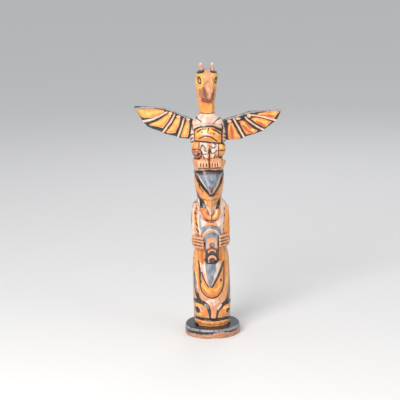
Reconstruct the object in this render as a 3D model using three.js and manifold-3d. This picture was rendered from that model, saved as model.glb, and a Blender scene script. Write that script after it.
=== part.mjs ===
// A model totem pole, carved from one softwood billet and painted. It stands on a round base of its own.
// Millimetres, +Z up. The front looks along -Y, and left and right are as seen from the front.
// The origin is the middle of the base's underside.
//
// From the base up: a wide painted face, a crouching figure that holds a creature head down in front of
// its chest, that figure's long-beaked head, and a thunderbird with spread wings and two peg horns.
import * as THREE from "three";
import { ConvexGeometry } from "three/addons/geometries/ConvexGeometry.js";
import { LoftGeometry } from "three/addons/geometries/LoftGeometry.js";
import { mergeVertices } from "three/addons/utils/BufferGeometryUtils.js";
import Module from "manifold-3d";

const wasm = await Module();
wasm.setup();

// Driving dimensions.
const CLEARANCE = 0.3; // between the pole and each piece let into it
const BASE = { radius: 46, height: 16, chamfer: 2.5, cornerBulge: 1.2, sides: 64 };
const POLE = { foot: BASE.height, top: 440, sides: 40, rowHeight: 9 };
const WING = { rootX: 22, y: 2, rootThickness: 9, tipThickness: 5 };
// Each wing slopes up by its own pitch, in degrees. Its own frame has the upper root corner at the origin.
// The trailing edge runs from the root out to the tip, and the three quill strips end at its corners.
const WINGS = {
  left: {
    rootZ: 359.8,
    pitch: 14.4,
    elbow: [48.5, 7.7],
    tip: [99.5, -0.8],
    trailing: [
      [15, -35.2], [19.5, -36.6], [23, -34], [39, -34.3], [44.7, -33.6], [49, -31.9],
      [62.5, -30.5], [71, -28.8], [76, -25.3], [78.6, -23.8],
    ],
  },
  right: {
    rootZ: 356.8,
    pitch: 7.4,
    elbow: [49.5, 6.9],
    tip: [100, 1],
    trailing: [
      [26, -36], [32.3, -35.6], [36, -33.6], [50.5, -31.8], [58.5, -30.2], [66, -28.8],
      [69.5, -26.3], [78, -21.6], [83, -18.8], [89.3, -16.6],
    ],
  },
};
const HORNS = {
  left: { foot: [-6.6, 0, 433], tip: [-8.9, 0, 451], radius: 3.1 },
  right: { foot: [9.2, -6, 430], tip: [9.2, -6, 451.5], radius: 2.6 },
};
const HORN_SIDES = 20;
const HEAD_TURN = 7; // degrees that the thunderbird's face turns to the right

// The turned form that the figures are carved from: height, half width, depth in front, depth behind, and
// how far it leans to the right.
const BILLET = [
  [POLE.foot, 30.5, 30.5, 27, 0],
  [60, 31.2, 30, 28, 0],
  [88, 31.2, 28, 28, 0],
  [118, 30.4, 27, 28, 0],
  [134, 29, 26, 27, 0],
  [147, 26.5, 25, 26, 0],
  [165, 28, 26, 27, 0],
  [185, 31.2, 28, 28, 0],
  [206, 31.2, 29, 28, -0.4],
  [218, 28, 27, 26.5, -0.3],
  [229, 20.8, 23, 23, 0],
  [240, 22, 24, 24, 0],
  [256, 24, 25, 25, 0],
  [270, 24.6, 25.5, 25, 0],
  [282, 23, 25.5, 24, 0],
  [298, 23.6, 23, 22.5, 0],
  [312, 27, 25, 24, 0],
  [328, 29.4, 26.5, 25, 0],
  [343, 28, 24.5, 22.5, 0],
  [355, 26, 20, 18.5, 0],
  [361, 22.2, 17, 16.5, -0.6],
  [366, 15.4, 14, 14.4, -0.4],
  [370, 12.4, 12.5, 13, -0.4],
  [382, 13.5, 13.3, 14, -0.9],
  [397, 15.3, 15.3, 16, -1],
  [411, 17.3, 17.6, 18, -0.8],
  [424, 18.8, 19.4, 19, 0],
  [433, 17.7, 18.2, 17.8, 0.3],
  [POLE.top, 13.2, 13.4, 13, 0.8],
];

const COLOURS = {
  pole: 0xd08a4c,
  base_disc: 0x2a2b2c,
  wing: 0xdd8f3f,
  horn: 0xd9b08c,
};

// A geometry as a solid for cutting and joining.
function solid(geometry) {
  const bare = new THREE.BufferGeometry();
  bare.setAttribute("position", geometry.getAttribute("position"));
  if (geometry.index) bare.setIndex(geometry.index);
  const merged = mergeVertices(bare, 1e-3);
  const mesh = new wasm.Mesh({
    numProp: 3,
    vertProperties: merged.attributes.position.array,
    triVerts: new Uint32Array(merged.index.array),
  });
  return new wasm.Manifold(mesh);
}

// A solid back as a geometry.
function geometryOf(form) {
  const { vertProperties, triVerts } = form.getMesh();
  const geometry = new THREE.BufferGeometry();
  geometry.setAttribute("position", new THREE.BufferAttribute(vertProperties, 3));
  geometry.setIndex(new THREE.BufferAttribute(triVerts, 1));
  return geometry;
}

const mirrored = ([x, y, z]) => [-x, y, z];
const bothSides = (make) => [make((p) => p), make(mirrored)];
const radians = THREE.MathUtils.degToRad;

// A knife-cut block: the convex hull of its corners.
function block(corners) {
  return solid(new ConvexGeometry(corners.map((p) => new THREE.Vector3(...p))));
}

// A block whose corners are given on the right and repeated on the left.
const symmetricBlock = (corners) => block([...corners, ...corners.map(mirrored)]);

// An egg shape.
function egg(centre, radii, segments = 16) {
  const geometry = new THREE.SphereGeometry(1, segments, segments / 2);
  return solid(geometry.scale(...radii).translate(...centre));
}

// A limb or finger: the hull of two balls.
function limb(from, to, radiusFrom, radiusTo = radiusFrom, segments = 10) {
  const ball = (centre, radius) => {
    const at = new THREE.SphereGeometry(radius, segments, segments / 2).translate(...centre).attributes.position;
    return Array.from({ length: at.count }, (_, i) => new THREE.Vector3().fromBufferAttribute(at, i));
  };
  return solid(new ConvexGeometry([...ball(from, radiusFrom), ...ball(to, radiusTo)]));
}

// The billet's [half width, front, back, lean] at a height, on a smooth curve through its stations.
function billetAt(height) {
  const last = BILLET.length - 1;
  let i = BILLET.findIndex((station) => station[0] >= height) - 1;
  if (i < 0) i = height <= BILLET[0][0] ? 0 : last - 1;
  const [a, b] = [BILLET[i], BILLET[i + 1]];
  const span = b[0] - a[0];
  const t = (height - a[0]) / span;
  const slope = (j, k) => {
    const [low, high] = [BILLET[Math.max(j - 1, 0)], BILLET[Math.min(j + 1, last)]];
    return (high[k] - low[k]) / (high[0] - low[0]);
  };
  return [1, 2, 3, 4].map((k) => {
    const [h00, h10] = [(1 + 2 * t) * (1 - t) ** 2, t * (1 - t) ** 2];
    const [h01, h11] = [t * t * (3 - 2 * t), t * t * (t - 1)];
    return h00 * a[k] + h10 * span * slope(i, k) + h01 * b[k] + h11 * span * slope(i + 1, k);
  });
}

function billet() {
  const rows = Math.ceil((POLE.top - POLE.foot) / POLE.rowHeight);
  const sections = Array.from({ length: rows + 1 }, (_, row) => {
    const height = POLE.foot + ((POLE.top - POLE.foot) * row) / rows;
    const [halfWidth, front, back, lean] = billetAt(height);
    return Array.from({ length: POLE.sides }, (_, side) => {
      const angle = (2 * Math.PI * side) / POLE.sides;
      const y = Math.sin(angle);
      return new THREE.Vector3(halfWidth * Math.cos(angle) + lean, y * (y < 0 ? front : back), height);
    });
  });
  return solid(new LoftGeometry(sections, { capStart: true, capEnd: true }));
}

// The thunderbird: hooked beak over a short lower beak, thighs, and two feet with four toes each.
function thunderbird() {
  const beak = [
    symmetricBlock([
      [6, -14, 436], [11, -8, 428], [12, -10, 414], [7.5, -27, 423], [6.2, -32, 415], [9.9, -20, 410],
      [4, -34, 407], [5.4, -22, 402],
    ]),
    symmetricBlock([[4.4, -33.2, 409], [5.6, -24, 406], [1.4, -33.5, 394], [3, -26, 397], [4.4, -20, 400]]),
    symmetricBlock([[10.5, -10, 408], [6.4, -26, 401], [5.4, -24.5, 390], [10, -9, 387]]),
  ];
  const turn = (form) => form.rotate([0, 0, HEAD_TURN]);
  const thighs = bothSides((side) => egg(side([18.5, -12, 312]), [9.5, 12, 14]));
  const feet = bothSides((side) => footBlock(side));
  const breast = egg([0, -8, 335], [23, 20, 17]);
  return [...beak.map(turn), ...thighs, ...feet, breast];
}

function footBlock(side) {
  const [inner, outer, front, back] = [1.2, 20.5, -32.5, -14];
  let foot = block(
    [
      [inner, front, 283], [outer, front + 5, 283], [inner, front + 1, 292], [outer, front + 6, 292],
      [inner, front + 6, 298], [outer, front + 9, 298], [inner, back, 280], [outer, back, 280],
      [inner, back, 300], [outer, back, 300],
    ].map(side),
  );
  const slits = 4;
  for (let i = 0; i < slits; i++) {
    const x = 4.8 + (i * 13.4) / (slits - 1);
    const cut = new THREE.BoxGeometry(1.4, 5, 7).translate(...side([x, front + 1 + x * 0.25, 286.5]));
    foot = foot.subtract(solid(cut));
  }
  return foot;
}

// The long-beaked head: flared ears, a broad upper beak that comes out to a point, and the jaw beneath.
function beakedHead() {
  const ear = (side, tipX, tipZ) =>
    block(
      [
        [17, -20, tipZ], [tipX, -13, tipZ], [17, -2, tipZ], [tipX - 0.5, -3, tipZ],
        [18, -22, 279], [23.6, -12, 277], [20, -2, 277],
      ].map(side),
    );
  const ears = [ear((p) => p, 28.3, 292.5), ear(mirrored, 27.5, 297)];
  const upperBeak = symmetricBlock([
    [21.5, -18, 281], [12, -28, 281.5], [24.5, -12, 268], [9, -35, 270],
    [1.2, -50, 246], [1.2, -47, 244], [15, -14, 252],
  ]);
  const jaw = symmetricBlock([
    [23.5, -12, 266], [21.5, -15, 248], [1.5, -44, 242], [1.5, -36, 230], [12, -24, 230], [14, -10, 229],
  ]);
  return [...ears, upperBeak, jaw];
}

// The crouching figure: arms down its sides, hands round the creature, a throat ridge and a mouth under it.
function crouchingFigure() {
  const arms = bothSides((side) => limb(side([22.5, -7, 212]), side([24, -8, 172]), 8.6, 7.6, 12));
  // The left hand sits a little lower than the right one.
  const hand = (side, middle) => [
    egg(side([25, -12.5, middle]), [6.8, 10, 11.5], 12),
    ...[7.5, 2.5, -2.5, -7.5].map((up) =>
      limb(side([26.5, -19, middle + up]), side([15, -31.5, middle + up]), 2.8, 2.6, 8),
    ),
  ];
  const hands = [...hand((p) => p, 161.5), ...hand(mirrored, 159.3)];
  const throat = symmetricBlock([[9, -26, 230], [1.5, -36, 231], [1, -32.5, 206], [7, -25, 206]]);
  const mouth = bothSides((side) => [
    limb(side([11, -25.5, 211]), side([8.5, -27.5, 202.5]), 5, 5.4, 10),
    limb(side([8.5, -27.5, 202.5]), [0, -28, 200.5], 5.4, 4.6, 10),
  ]).flat();
  return [...arms, ...hands, throat, ...mouth];
}

// A low boss: an outline of [x, z] points on the right, given from the crest down, that is drawn in by a
// little more at each step forward. Steps are [y, drawn in by].
function boss(outline, steps, middleZ) {
  const corners = steps.flatMap(([y, inset]) =>
    outline.map(([x, z]) => [Math.max(x - inset, 0.4), y, middleZ + (z - middleZ) * (1 - inset / 36)]),
  );
  return symmetricBlock(corners);
}

// The creature held head down: arched back, narrow waist, broad rounded head and a beak that lies along it.
function heldCreature() {
  const arc = (radius, centreZ, from, to, count) =>
    Array.from({ length: count + 1 }, (_, i) => {
      const angle = radians(from + ((to - from) * i) / count);
      return [radius * Math.cos(angle), centreZ + radius * Math.sin(angle)];
    });
  const back = boss([...arc(17, 173, 90, 0, 6), [16, 158]], [[-15, 0], [-28.5, 1.5], [-32, 6], [-33.5, 11]], 172);
  const waist = symmetricBlock([
    [12.5, -18, 168], [11, -33.5, 165], [11.5, -18, 126], [10.5, -33.5, 127],
  ]);
  const headOutline = [[19.5, 129], [20.6, 112], ...arc(20.6, 86, 0, -90, 8)];
  const head = boss(headOutline, [[-12, 0], [-25.5, 1], [-30, 4.5], [-32.5, 9.5]], 98);
  const beak = block([
    ...bothSides((side) => side([17.5, -24, 128])), ...bothSides((side) => side([8.5, -35, 129])),
    ...bothSides((side) => side([16.5, -27, 106])), ...bothSides((side) => side([8, -28, 90])),
    [-1.5, -42, 91], [-3.5, -42, 91], [-1.6, -38, 84.5], [-3.4, -38, 84.5],
  ]);
  return [back, waist, head, beak];
}

// The wide face at the foot: brow and nose in one wedge, bulging eyes and a full lower lip.
function wideFace() {
  const nose = symmetricBlock([[11, -27, 62], [5, -31.5, 58], [3.4, -34, 44], [4.4, -33.4, 31], [4, -27, 29]]);
  const eyes = bothSides((side) => egg(side([21, -15.5, 46]), [8.5, 8.5, 9], 14));
  const steps = 8;
  const reach = radians(68);
  const lipPoint = (step) => {
    const angle = reach * ((2 * step) / steps - 1);
    const rise = 3.5 * Math.sin(angle) ** 2;
    return [28.6 * Math.sin(angle), -28.6 * Math.cos(angle), 22.5 + rise];
  };
  const lip = Array.from({ length: steps }, (_, step) => limb(lipPoint(step), lipPoint(step + 1), 3.6, 3.6, 8));
  return [nose, ...eyes, ...lip];
}

// A wing board, flat behind, thinner at the tip. Drawn along +X from its root.
function wingBoard({ elbow, tip, trailing }) {
  const { rootThickness, tipThickness } = WING;
  const outline = new THREE.Shape();
  outline.moveTo(0, -33.5);
  outline.lineTo(0, -0.8);
  outline.lineTo(elbow[0] - 7, elbow[1] - 1.2);
  outline.quadraticCurveTo(elbow[0] - 1, elbow[1] + 0.4, elbow[0] + 6, elbow[1] - 0.6);
  outline.lineTo(tip[0] - 3, tip[1] + 0.6);
  outline.quadraticCurveTo(tip[0], tip[1] + 0.3, tip[0] - 0.6, tip[1] - 2);
  [...trailing].reverse().forEach(([x, z]) => outline.lineTo(x, z));
  const sheet = new THREE.ExtrudeGeometry(outline, { depth: rootThickness, bevelEnabled: false, curveSegments: 5 });
  // Extruded along +Z, then stood up so that the depth runs along Y with the flat back at y = 0.
  const board = solid(sheet.rotateX(Math.PI / 2));
  // The front is planed down towards the tip.
  const far = tip[0] + 5;
  const planed = block([
    [-5, -rootThickness - 0.1, -60], [-5, -rootThickness - 0.1, 30],
    [far, -rootThickness - 0.1, -60], [far, -rootThickness - 0.1, 30],
    [far, -tipThickness, -60], [far, -tipThickness, 30],
  ]);
  return board.subtract(planed);
}

function wing(side) {
  const { rootZ, pitch } = WINGS[side];
  const forward = WING.y + WING.rootThickness / 2;
  const right = wingBoard(WINGS[side]).rotate([0, -pitch, 0]).translate([WING.rootX, forward, rootZ]);
  return side === "right" ? right : right.mirror([1, 0, 0]);
}

function horn({ foot, tip, radius }) {
  const [from, to] = [new THREE.Vector3(...foot), new THREE.Vector3(...tip)];
  const axis = to.clone().sub(from);
  const peg = new THREE.CylinderGeometry(radius, radius, axis.length(), HORN_SIDES);
  peg.applyQuaternion(new THREE.Quaternion().setFromUnitVectors(new THREE.Vector3(0, 1, 0), axis.normalize()));
  const middle = from.add(to).multiplyScalar(0.5);
  return solid(peg.translate(...middle.toArray()));
}

// The base was sawn round by hand, so it is a little square.
function baseDisc() {
  const { radius, height, chamfer, cornerBulge, sides } = BASE;
  const ring = (inset, z) =>
    Array.from({ length: sides }, (_, i) => {
      const angle = (2 * Math.PI * i) / sides;
      const reach = radius + (cornerBulge * (1 - Math.cos(4 * angle))) / 2 - inset;
      return new THREE.Vector3(reach * Math.cos(angle), reach * Math.sin(angle), z);
    });
  const sections = [ring(0, 0), ring(0, height - chamfer), ring(chamfer, height)];
  return solid(new LoftGeometry(sections, { capStart: true, capEnd: true }));
}

// A piece grown by the clearance, to cut its seat in the pole.
function seatOf(form) {
  const c = CLEARANCE;
  const shifts = [[c, 0, 0], [-c, 0, 0], [0, c, 0], [0, -c, 0], [0, 0, c], [0, 0, -c]];
  return shifts.reduce((grown, shift) => grown.add(form.translate(shift)), form);
}

function named(name, form, colour, roughness) {
  const geometry = geometryOf(form).toNonIndexed();
  geometry.computeVertexNormals();
  const material = new THREE.MeshStandardMaterial({ color: colour, roughness, metalness: 0 });
  const mesh = new THREE.Mesh(geometry, material);
  mesh.name = name;
  return mesh;
}

const wings = { left: wing("left"), right: wing("right") };
const horns = { left: horn(HORNS.left), right: horn(HORNS.right) };
const base = baseDisc();

const carvings = [...thunderbird(), ...beakedHead(), ...crouchingFigure(), ...heldCreature(), ...wideFace()];
const joined = wasm.Manifold.union([billet(), ...carvings]);
const seats = [...Object.values(wings), ...Object.values(horns)].map(seatOf);
const aboveBase = joined.trimByPlane([0, 0, 1], POLE.foot);
const pole = wasm.Manifold.difference([aboveBase, ...seats]);

const totem = new THREE.Group();
totem.add(
  named("pole", pole, COLOURS.pole, 0.45),
  named("base_disc", base, COLOURS.base_disc, 0.4),
  named("wing_left", wings.left, COLOURS.wing, 0.45),
  named("wing_right", wings.right, COLOURS.wing, 0.45),
  named("horn_left", horns.left, COLOURS.horn, 0.6),
  named("horn_right", horns.right, COLOURS.horn, 0.6),
);

export default totem;
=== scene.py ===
"""A model totem pole: carved softwood, stained and painted by hand, then varnished.

Each piece is carved as a field of distances in millimetres, turned into a mesh, and painted by
brush shapes that are laid on its skin one over the other.
"""

import math
from functools import partial

import bmesh
import bpy
import numpy as np
from mathutils import Matrix, Vector


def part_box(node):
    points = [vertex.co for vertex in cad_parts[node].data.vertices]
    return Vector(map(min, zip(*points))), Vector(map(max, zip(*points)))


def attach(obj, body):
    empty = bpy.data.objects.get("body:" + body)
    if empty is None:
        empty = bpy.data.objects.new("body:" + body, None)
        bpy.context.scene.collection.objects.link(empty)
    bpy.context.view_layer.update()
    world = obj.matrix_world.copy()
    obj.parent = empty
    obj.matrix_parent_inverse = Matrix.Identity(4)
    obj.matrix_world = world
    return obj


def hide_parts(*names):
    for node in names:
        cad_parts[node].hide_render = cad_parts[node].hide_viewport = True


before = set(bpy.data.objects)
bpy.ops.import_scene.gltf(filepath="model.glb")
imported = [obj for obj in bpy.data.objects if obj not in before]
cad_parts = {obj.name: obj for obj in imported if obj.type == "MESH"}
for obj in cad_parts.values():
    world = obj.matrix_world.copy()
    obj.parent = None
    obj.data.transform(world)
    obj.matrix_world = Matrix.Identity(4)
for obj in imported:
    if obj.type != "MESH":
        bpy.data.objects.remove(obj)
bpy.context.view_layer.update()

MM = 0.001  # metres in a millimetre
FOOT, TOP = 16.0, 440.0  # mm: where the pole stands on its base, and its crown
HANDS = {-1: 159.3, 1: 161.5}  # mm: the height of the left (-1) and the right (1) hand
CELLS = {"pole": (1.06, 1.6), "wing": (0.85, 1.3), "base": (1.25, 1.8)}  # mm: mesh cells, in full and quick
HORN_CELL = 0.45  # mm: the same in both
FILLED = -0.001  # mm: a distance just inside the wood
HOLLOW_ROUNDS = 9  # how often the shape is smoothed to find what lies below its surroundings
SKIN_DEPTH = 3  # mm: how far from the surface the knife marks are worked out
SEAT_GAP = 0.3  # mm: the play round a wing or a horn in its seat
FAR_OFF = 12.0  # mm: the distance given to points well away from a wing
# Odd numbers that scatter the corners of a grid, so that the noise is the same each run.
SCATTER = [np.uint32(n) for n in (374761393, 668265263, 2246822519, 1274126177)]
SEED_STEP = 3266489917

# Each paint: its two shades, its roughness, and how much of it is worn thin.
PAINTS = {
    "orange": ((232, 156, 72), (212, 126, 50), 0.4, 0.4),
    "yellow": ((240, 190, 100), (224, 162, 70), 0.4, 0.4),
    "red": ((214, 92, 56), (184, 66, 40), 0.4, 0.35),
    "pale": ((232, 212, 194), (208, 182, 164), 0.45, 0.35),
    "blue": ((142, 150, 162), (100, 110, 124), 0.34, 0.3),
    "brown": ((96, 48, 30), (62, 32, 24), 0.36, 0.15),
    "black": ((34, 36, 38), (18, 19, 21), 0.25, 0.12),
}
COLOURS = list(PAINTS)
DARK_PAINTS = ("black", "brown")
DARK_EXTRA = 0.35  # mm: how much wider than asked a dark line is brushed
BRUSH_STRETCH, DOT_STRETCH = 1.8, 1.5  # the most that paint is widened where the skin turns away
REACH = 4.0  # mm: how far from a painted edge its distance is kept
EDGE = 1.4  # mm: how wide the slope is at the edge of a cut or a raised shape
WOBBLE = ((0.38, 7.0), (0.14, 2.4))  # mm: how far a brush strays, and over what length


# ---------------------------------------------------------------- carving

def noise3(p, size, seed):
    """Smooth noise from -1 to 1, with lumps `size` mm across (a number, or one for each axis)."""
    q = p / np.asarray(size, float)
    whole = np.floor(q)
    t = q - whole
    t = t * t * (3 - 2 * t)
    cell = whole.astype(np.int64).astype(np.uint32)
    total = np.zeros(len(p))
    for corner in range(8):
        step = np.array([corner & 1, corner >> 1 & 1, corner >> 2 & 1], np.uint32)
        c = cell + step
        h = c[:, 0] * SCATTER[0] + c[:, 1] * SCATTER[1]
        h = h + c[:, 2] * SCATTER[2] + np.uint32(seed * SEED_STEP % 2**32)
        h = (h ^ (h >> np.uint32(13))) * SCATTER[3]
        h = h ^ (h >> np.uint32(16))
        weight = np.prod(np.where(step == 1, t, 1 - t), axis=1)
        total += weight * ((h & np.uint32(0xFFFF)) / 32767.5 - 1)
    return total


def join(a, b, blend):
    """The union of two distances, with the inner corner filled over `blend` mm."""
    h = np.maximum(blend - np.abs(a - b), 0) / blend
    return np.minimum(a, b) - h * h * blend / 4


def meet(a, b, blend):
    """The part that two distances share, with its outer edge rounded over `blend` mm."""
    return -join(-a, -b, blend)


def smooth(t):
    """An even rise from 0 to 1 that starts and ends gently."""
    t = np.clip(t, 0, 1)
    return t * t * (3 - 2 * t)


class Egg:
    """A rounded lump with its own radius along each axis."""

    def __init__(self, centre, radii, blend=3.0):
        self.centre, self.radii, self.blend = np.array(centre), np.array(radii), blend
        self.low, self.high = self.centre - self.radii, self.centre + self.radii

    def distance(self, p):
        q = (p - self.centre) / self.radii
        k0 = np.linalg.norm(q, axis=1) + 1e-6
        k1 = np.linalg.norm(q / self.radii, axis=1) + 1e-6
        return k0 * (k0 - 1) / k1


class Limb:
    """A round bar from a to b, whose radius changes from ra to rb."""

    def __init__(self, a, b, ra, rb, blend=2.0):
        self.a, self.b, self.ra, self.rb, self.blend = np.array(a), np.array(b), ra, rb, blend
        r = max(ra, rb)
        self.low, self.high = np.minimum(a, b) - r, np.maximum(a, b) + r

    def distance(self, p):
        along = self.b - self.a
        t = np.clip((p - self.a) @ along / (along @ along), 0, 1)
        return np.linalg.norm(p - self.a - t[:, None] * along, axis=1) - self.ra - (self.rb - self.ra) * t


class Block:
    """A knife-cut block: the hull of its corners, its edges worn over `edge` mm."""

    def __init__(self, corners, edge=1.6, blend=2.0):
        pts = np.array(corners, float)
        self.low, self.high, self.edge, self.blend = pts.min(0), pts.max(0), edge, blend
        bm = bmesh.new()
        for c in corners:
            bm.verts.new(c)
        hull = bmesh.ops.convex_hull(bm, input=bm.verts)
        middle = pts.mean(0)
        # Faces that lie in one plane are kept once.
        planes = set()
        for g in hull["geom"]:
            if isinstance(g, bmesh.types.BMFace):
                g.normal_update()
                n = np.array(g.normal)
                at = n @ np.array(g.verts[0].co)
                if n @ middle > at:
                    n, at = -n, -at
                planes.add((*np.round(n, 2), round(float(at), 1)))
        bm.free()
        self.planes = [(np.array(q[:3]) / np.linalg.norm(q[:3]), q[3]) for q in sorted(planes)]

    def distance(self, p):
        d = None
        for n, at in self.planes:
            e = p @ n - at
            d = e if d is None else meet(d, e, self.edge)
        return d


def mirrored(corners):
    return [(-x, y, z) for x, y, z in corners]


def flip(sign, pts):
    """The same points on the left (-1) or on the right (1)."""
    return [(sign * x, z) for x, z in pts]


def both(corners, **k):
    """A block made of its right half's corners and their mirror images."""
    return Block([*corners, *mirrored(corners)], **k)


# The turned form: height, half width, depth in front, depth behind, lean to the right.
BILLET = np.array([
    [16, 30.5, 30.5, 27, 0], [60, 31.2, 30, 28, 0], [88, 31.2, 28, 28, 0], [118, 30.4, 27, 28, 0],
    [134, 29, 26, 27, 0], [147, 26.5, 25, 26, 0], [165, 28, 26, 27, 0], [185, 31.2, 28, 28, 0],
    [206, 31.2, 29, 28, -0.4], [218, 28, 27, 26.5, -0.3], [229, 20.8, 23, 23, 0], [240, 22, 24, 24, 0],
    [256, 24, 25, 25, 0], [270, 24.6, 25.5, 25, 0], [282, 23, 25.5, 24, 0], [298, 23.6, 23, 22.5, 0],
    [312, 27, 25, 24, 0], [328, 29.4, 26.5, 25, 0], [343, 28, 24.5, 22.5, 0], [355, 26, 20, 18.5, 0],
    [361, 22.2, 17, 16.5, -0.6], [366, 15.4, 14, 14.4, -0.4], [370, 12.4, 12.5, 13, -0.4],
    [382, 13.5, 13.3, 14, -0.9], [397, 15.3, 15.3, 16, -1], [411, 17.3, 17.6, 18, -0.8],
    [424, 18.8, 19.4, 19, 0], [433, 17.7, 18.2, 17.8, 0.3], [440, 13.2, 13.4, 13, 0.8],
])


def billet_table():
    """The turned form at every quarter of a millimetre, on smooth curves through its rows."""
    z = np.arange(FOOT - 6, TOP + 6, 0.25)
    at = BILLET[:, 0]
    slope = np.gradient(BILLET, at, axis=0)
    slope[1:-1] = (BILLET[2:] - BILLET[:-2]) / (at[2:] - at[:-2])[:, None]
    i = np.clip(np.searchsorted(at, z) - 1, 0, len(at) - 2)
    span = (at[i + 1] - at[i])[:, None]
    t = np.clip((z - at[i])[:, None] / span, 0, 1)
    a, b = BILLET[i], BILLET[i + 1]
    curve = (1 + 2 * t) * (1 - t) ** 2 * a + t * (1 - t) ** 2 * span * slope[i]
    curve += t * t * (3 - 2 * t) * b + t * t * (t - 1) * span * slope[i + 1]
    return z, curve[:, 1:]


TABLE_Z, TABLE = billet_table()


def billet_at(z):
    """The half width, the depths in front and behind, and the lean at each height."""
    return [np.interp(z, TABLE_Z, TABLE[:, k]) for k in range(4)]


def billet(p):
    """The turned form, cut off at the crown."""
    half, front, back, lean = billet_at(p[:, 2])
    x, y = p[:, 0] - lean, p[:, 1]
    depth = np.where(y < 0, front, back)
    r = np.hypot(x, y) + 1e-3
    q = np.hypot(x / half, y / depth) + 1e-3 / half
    return meet(r * (1 - 1 / q), p[:, 2] - TOP, 5.0)


def turned(corners, degrees=7.0):
    """The thunderbird's head looks a little to the right, so its beak is turned round the pole."""
    c, s = math.cos(math.radians(degrees)), math.sin(math.radians(degrees))
    return [(c * x - s * y, s * x + c * y, z) for x, y, z in corners]


def beak_of_thunderbird():
    over = [(6, -14, 436), (11, -8, 428), (12, -10, 414), (7.5, -27, 423), (6.2, -32, 415),
            (9.9, -20, 410), (4, -34, 407), (5.4, -22, 402)]
    hook = [(4.4, -33.2, 409), (5.6, -24, 406), (1.4, -33.5, 394), (3, -26, 397), (4.4, -20, 400)]
    under = [(10.5, -10, 408), (6.4, -26, 401), (5.4, -24.5, 390), (10, -9, 387)]
    blocks = [(over, 2.6, 2.5), (hook, 2.2, 3.0), (under, 2.4, 1.0)]
    return [Block(turned([*c, *mirrored(c)]), edge=e, blend=b) for c, e, b in blocks]


def feet():
    inner, outer, front, back = 1.2, 20.5, -32.5, -14
    right = [(inner, front, 283), (outer, front + 5, 283), (inner, front + 1, 292), (outer, front + 6, 292),
             (inner, front + 6, 298), (outer, front + 9, 298), (inner, back, 280), (outer, back, 280),
             (inner, back, 300), (outer, back, 300)]
    return [Block(c, edge=2.4, blend=1.2) for c in (right, mirrored(right))]


def boss(outline, steps, middle, **k):
    """A raised form with this outline, drawn in towards `middle` by an inset at each depth."""
    corners = [(max(x - inset, 0.4), y, middle + (z - middle) * (1 - inset / 36))
               for y, inset in steps for x, z in outline]
    return both(corners, **k)


def arc(radius, centre, start, end, count):
    """Points round a part of a circle whose centre is at x = 0."""
    angles = [math.radians(start + (end - start) * i / count) for i in range(count + 1)]
    return [(radius * math.cos(a), centre + radius * math.sin(a)) for a in angles]


def figures():
    """Every carved form that stands proud of the billet."""
    parts = beak_of_thunderbird() + feet()
    parts.append(Egg((0, -8, 335), (23, 20, 17), 6.0))
    for s in (-1, 1):
        parts.append(Egg((18.5 * s, -12, 312), (9.5, 12, 14), 3.0))
        tip_x, tip_z = (28.3, 292.5) if s > 0 else (27.5, 297)
        ear = [(17, -20, tip_z), (tip_x, -13, tip_z), (17, -2, tip_z), (tip_x - 0.5, -3, tip_z),
               (18, -22, 279), (23.6, -12, 277), (20, -2, 277)]
        parts.append(Block([(s * x, y, z) for x, y, z in ear], edge=2.5, blend=2.5))
        parts.append(Limb((22.5 * s, -7, 212), (24 * s, -8, 172), 8.6, 7.6, 4.0))
        parts.append(Egg((25 * s, -12.5, HANDS[s]), (6.8, 10, 11.5), 2.5))
        parts.append(Limb((11 * s, -25.5, 211), (8.5 * s, -27.5, 202.5), 5, 5.4, 2.0))
        parts.append(Limb((8.5 * s, -27.5, 202.5), (0, -28, 200.5), 5.4, 4.6, 2.0))
        parts.append(Egg((21 * s, -15.5, 46), (8.5, 8.5, 9), 3.5))
    parts.append(both([(21.5, -18, 281), (12, -28, 281.5), (24.5, -12, 268), (9, -35, 270),
                       (1.2, -50, 246), (1.2, -47, 244), (15, -14, 252)], edge=2.2, blend=1.5))
    parts.append(both([(23.5, -12, 266), (21.5, -15, 248), (1.5, -44, 242), (1.5, -36, 230),
                       (12, -24, 230), (14, -10, 229)], edge=3.0, blend=1.5))
    parts.append(both([(9, -26, 230), (1.5, -36, 231), (1, -32.5, 206), (7, -25, 206)], edge=2.5))
    back_steps = [(-15, 0), (-28.5, 1.5), (-32, 6), (-33.5, 11)]
    parts.append(boss([*arc(17, 173, 90, 0, 6), (16, 158)], back_steps, 172, edge=2.5, blend=1.5))
    parts.append(both([(12.5, -18, 168), (11, -33.5, 165), (11.5, -18, 126), (10.5, -33.5, 127)],
                      edge=3.5, blend=2.0))
    head_steps = [(-12, 0), (-25.5, 1), (-30, 4.5), (-32.5, 9.5)]
    outline = [(19.5, 129), (20.6, 112), *arc(20.6, 86, 0, -90, 8)]
    parts.append(boss(outline, head_steps, 98, edge=4.0, blend=2.5))
    beak = [(17.5, -24, 128), (8.5, -35, 129), (16.5, -27, 106), (8, -28, 90)]
    parts.append(Block([*beak, *mirrored(beak), (-1.5, -42, 91), (-3.5, -42, 91), (-1.6, -38, 84.5),
                        (-3.4, -38, 84.5)], edge=3.0, blend=3.0))
    parts.append(both([(11, -27, 62), (5, -31.5, 58), (3.4, -34, 44), (4.4, -33.4, 31), (4, -27, 29)],
                      edge=2.2, blend=3.0))
    for s in (1, -1):
        for up in (7.5, 2.5, -2.5, -7.5):
            a, b = (26.5 * s, -19, HANDS[s] + up), (15 * s, -31.5, HANDS[s] + up)
            parts.append(Limb(a, b, 2.8, 2.6, 0.8))
    # The wide face's lower lip runs round the front in short lengths.
    lip = []
    for step in range(9):
        angle = math.radians(68) * (step / 4 - 1)
        lip.append((28.6 * math.sin(angle), -28.6 * math.cos(angle), 22.5 + 3.5 * math.sin(angle) ** 2))
    parts += [Limb(a, b, 3.6, 3.6, 2.0) for a, b in zip(lip, lip[1:])]
    return parts


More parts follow.
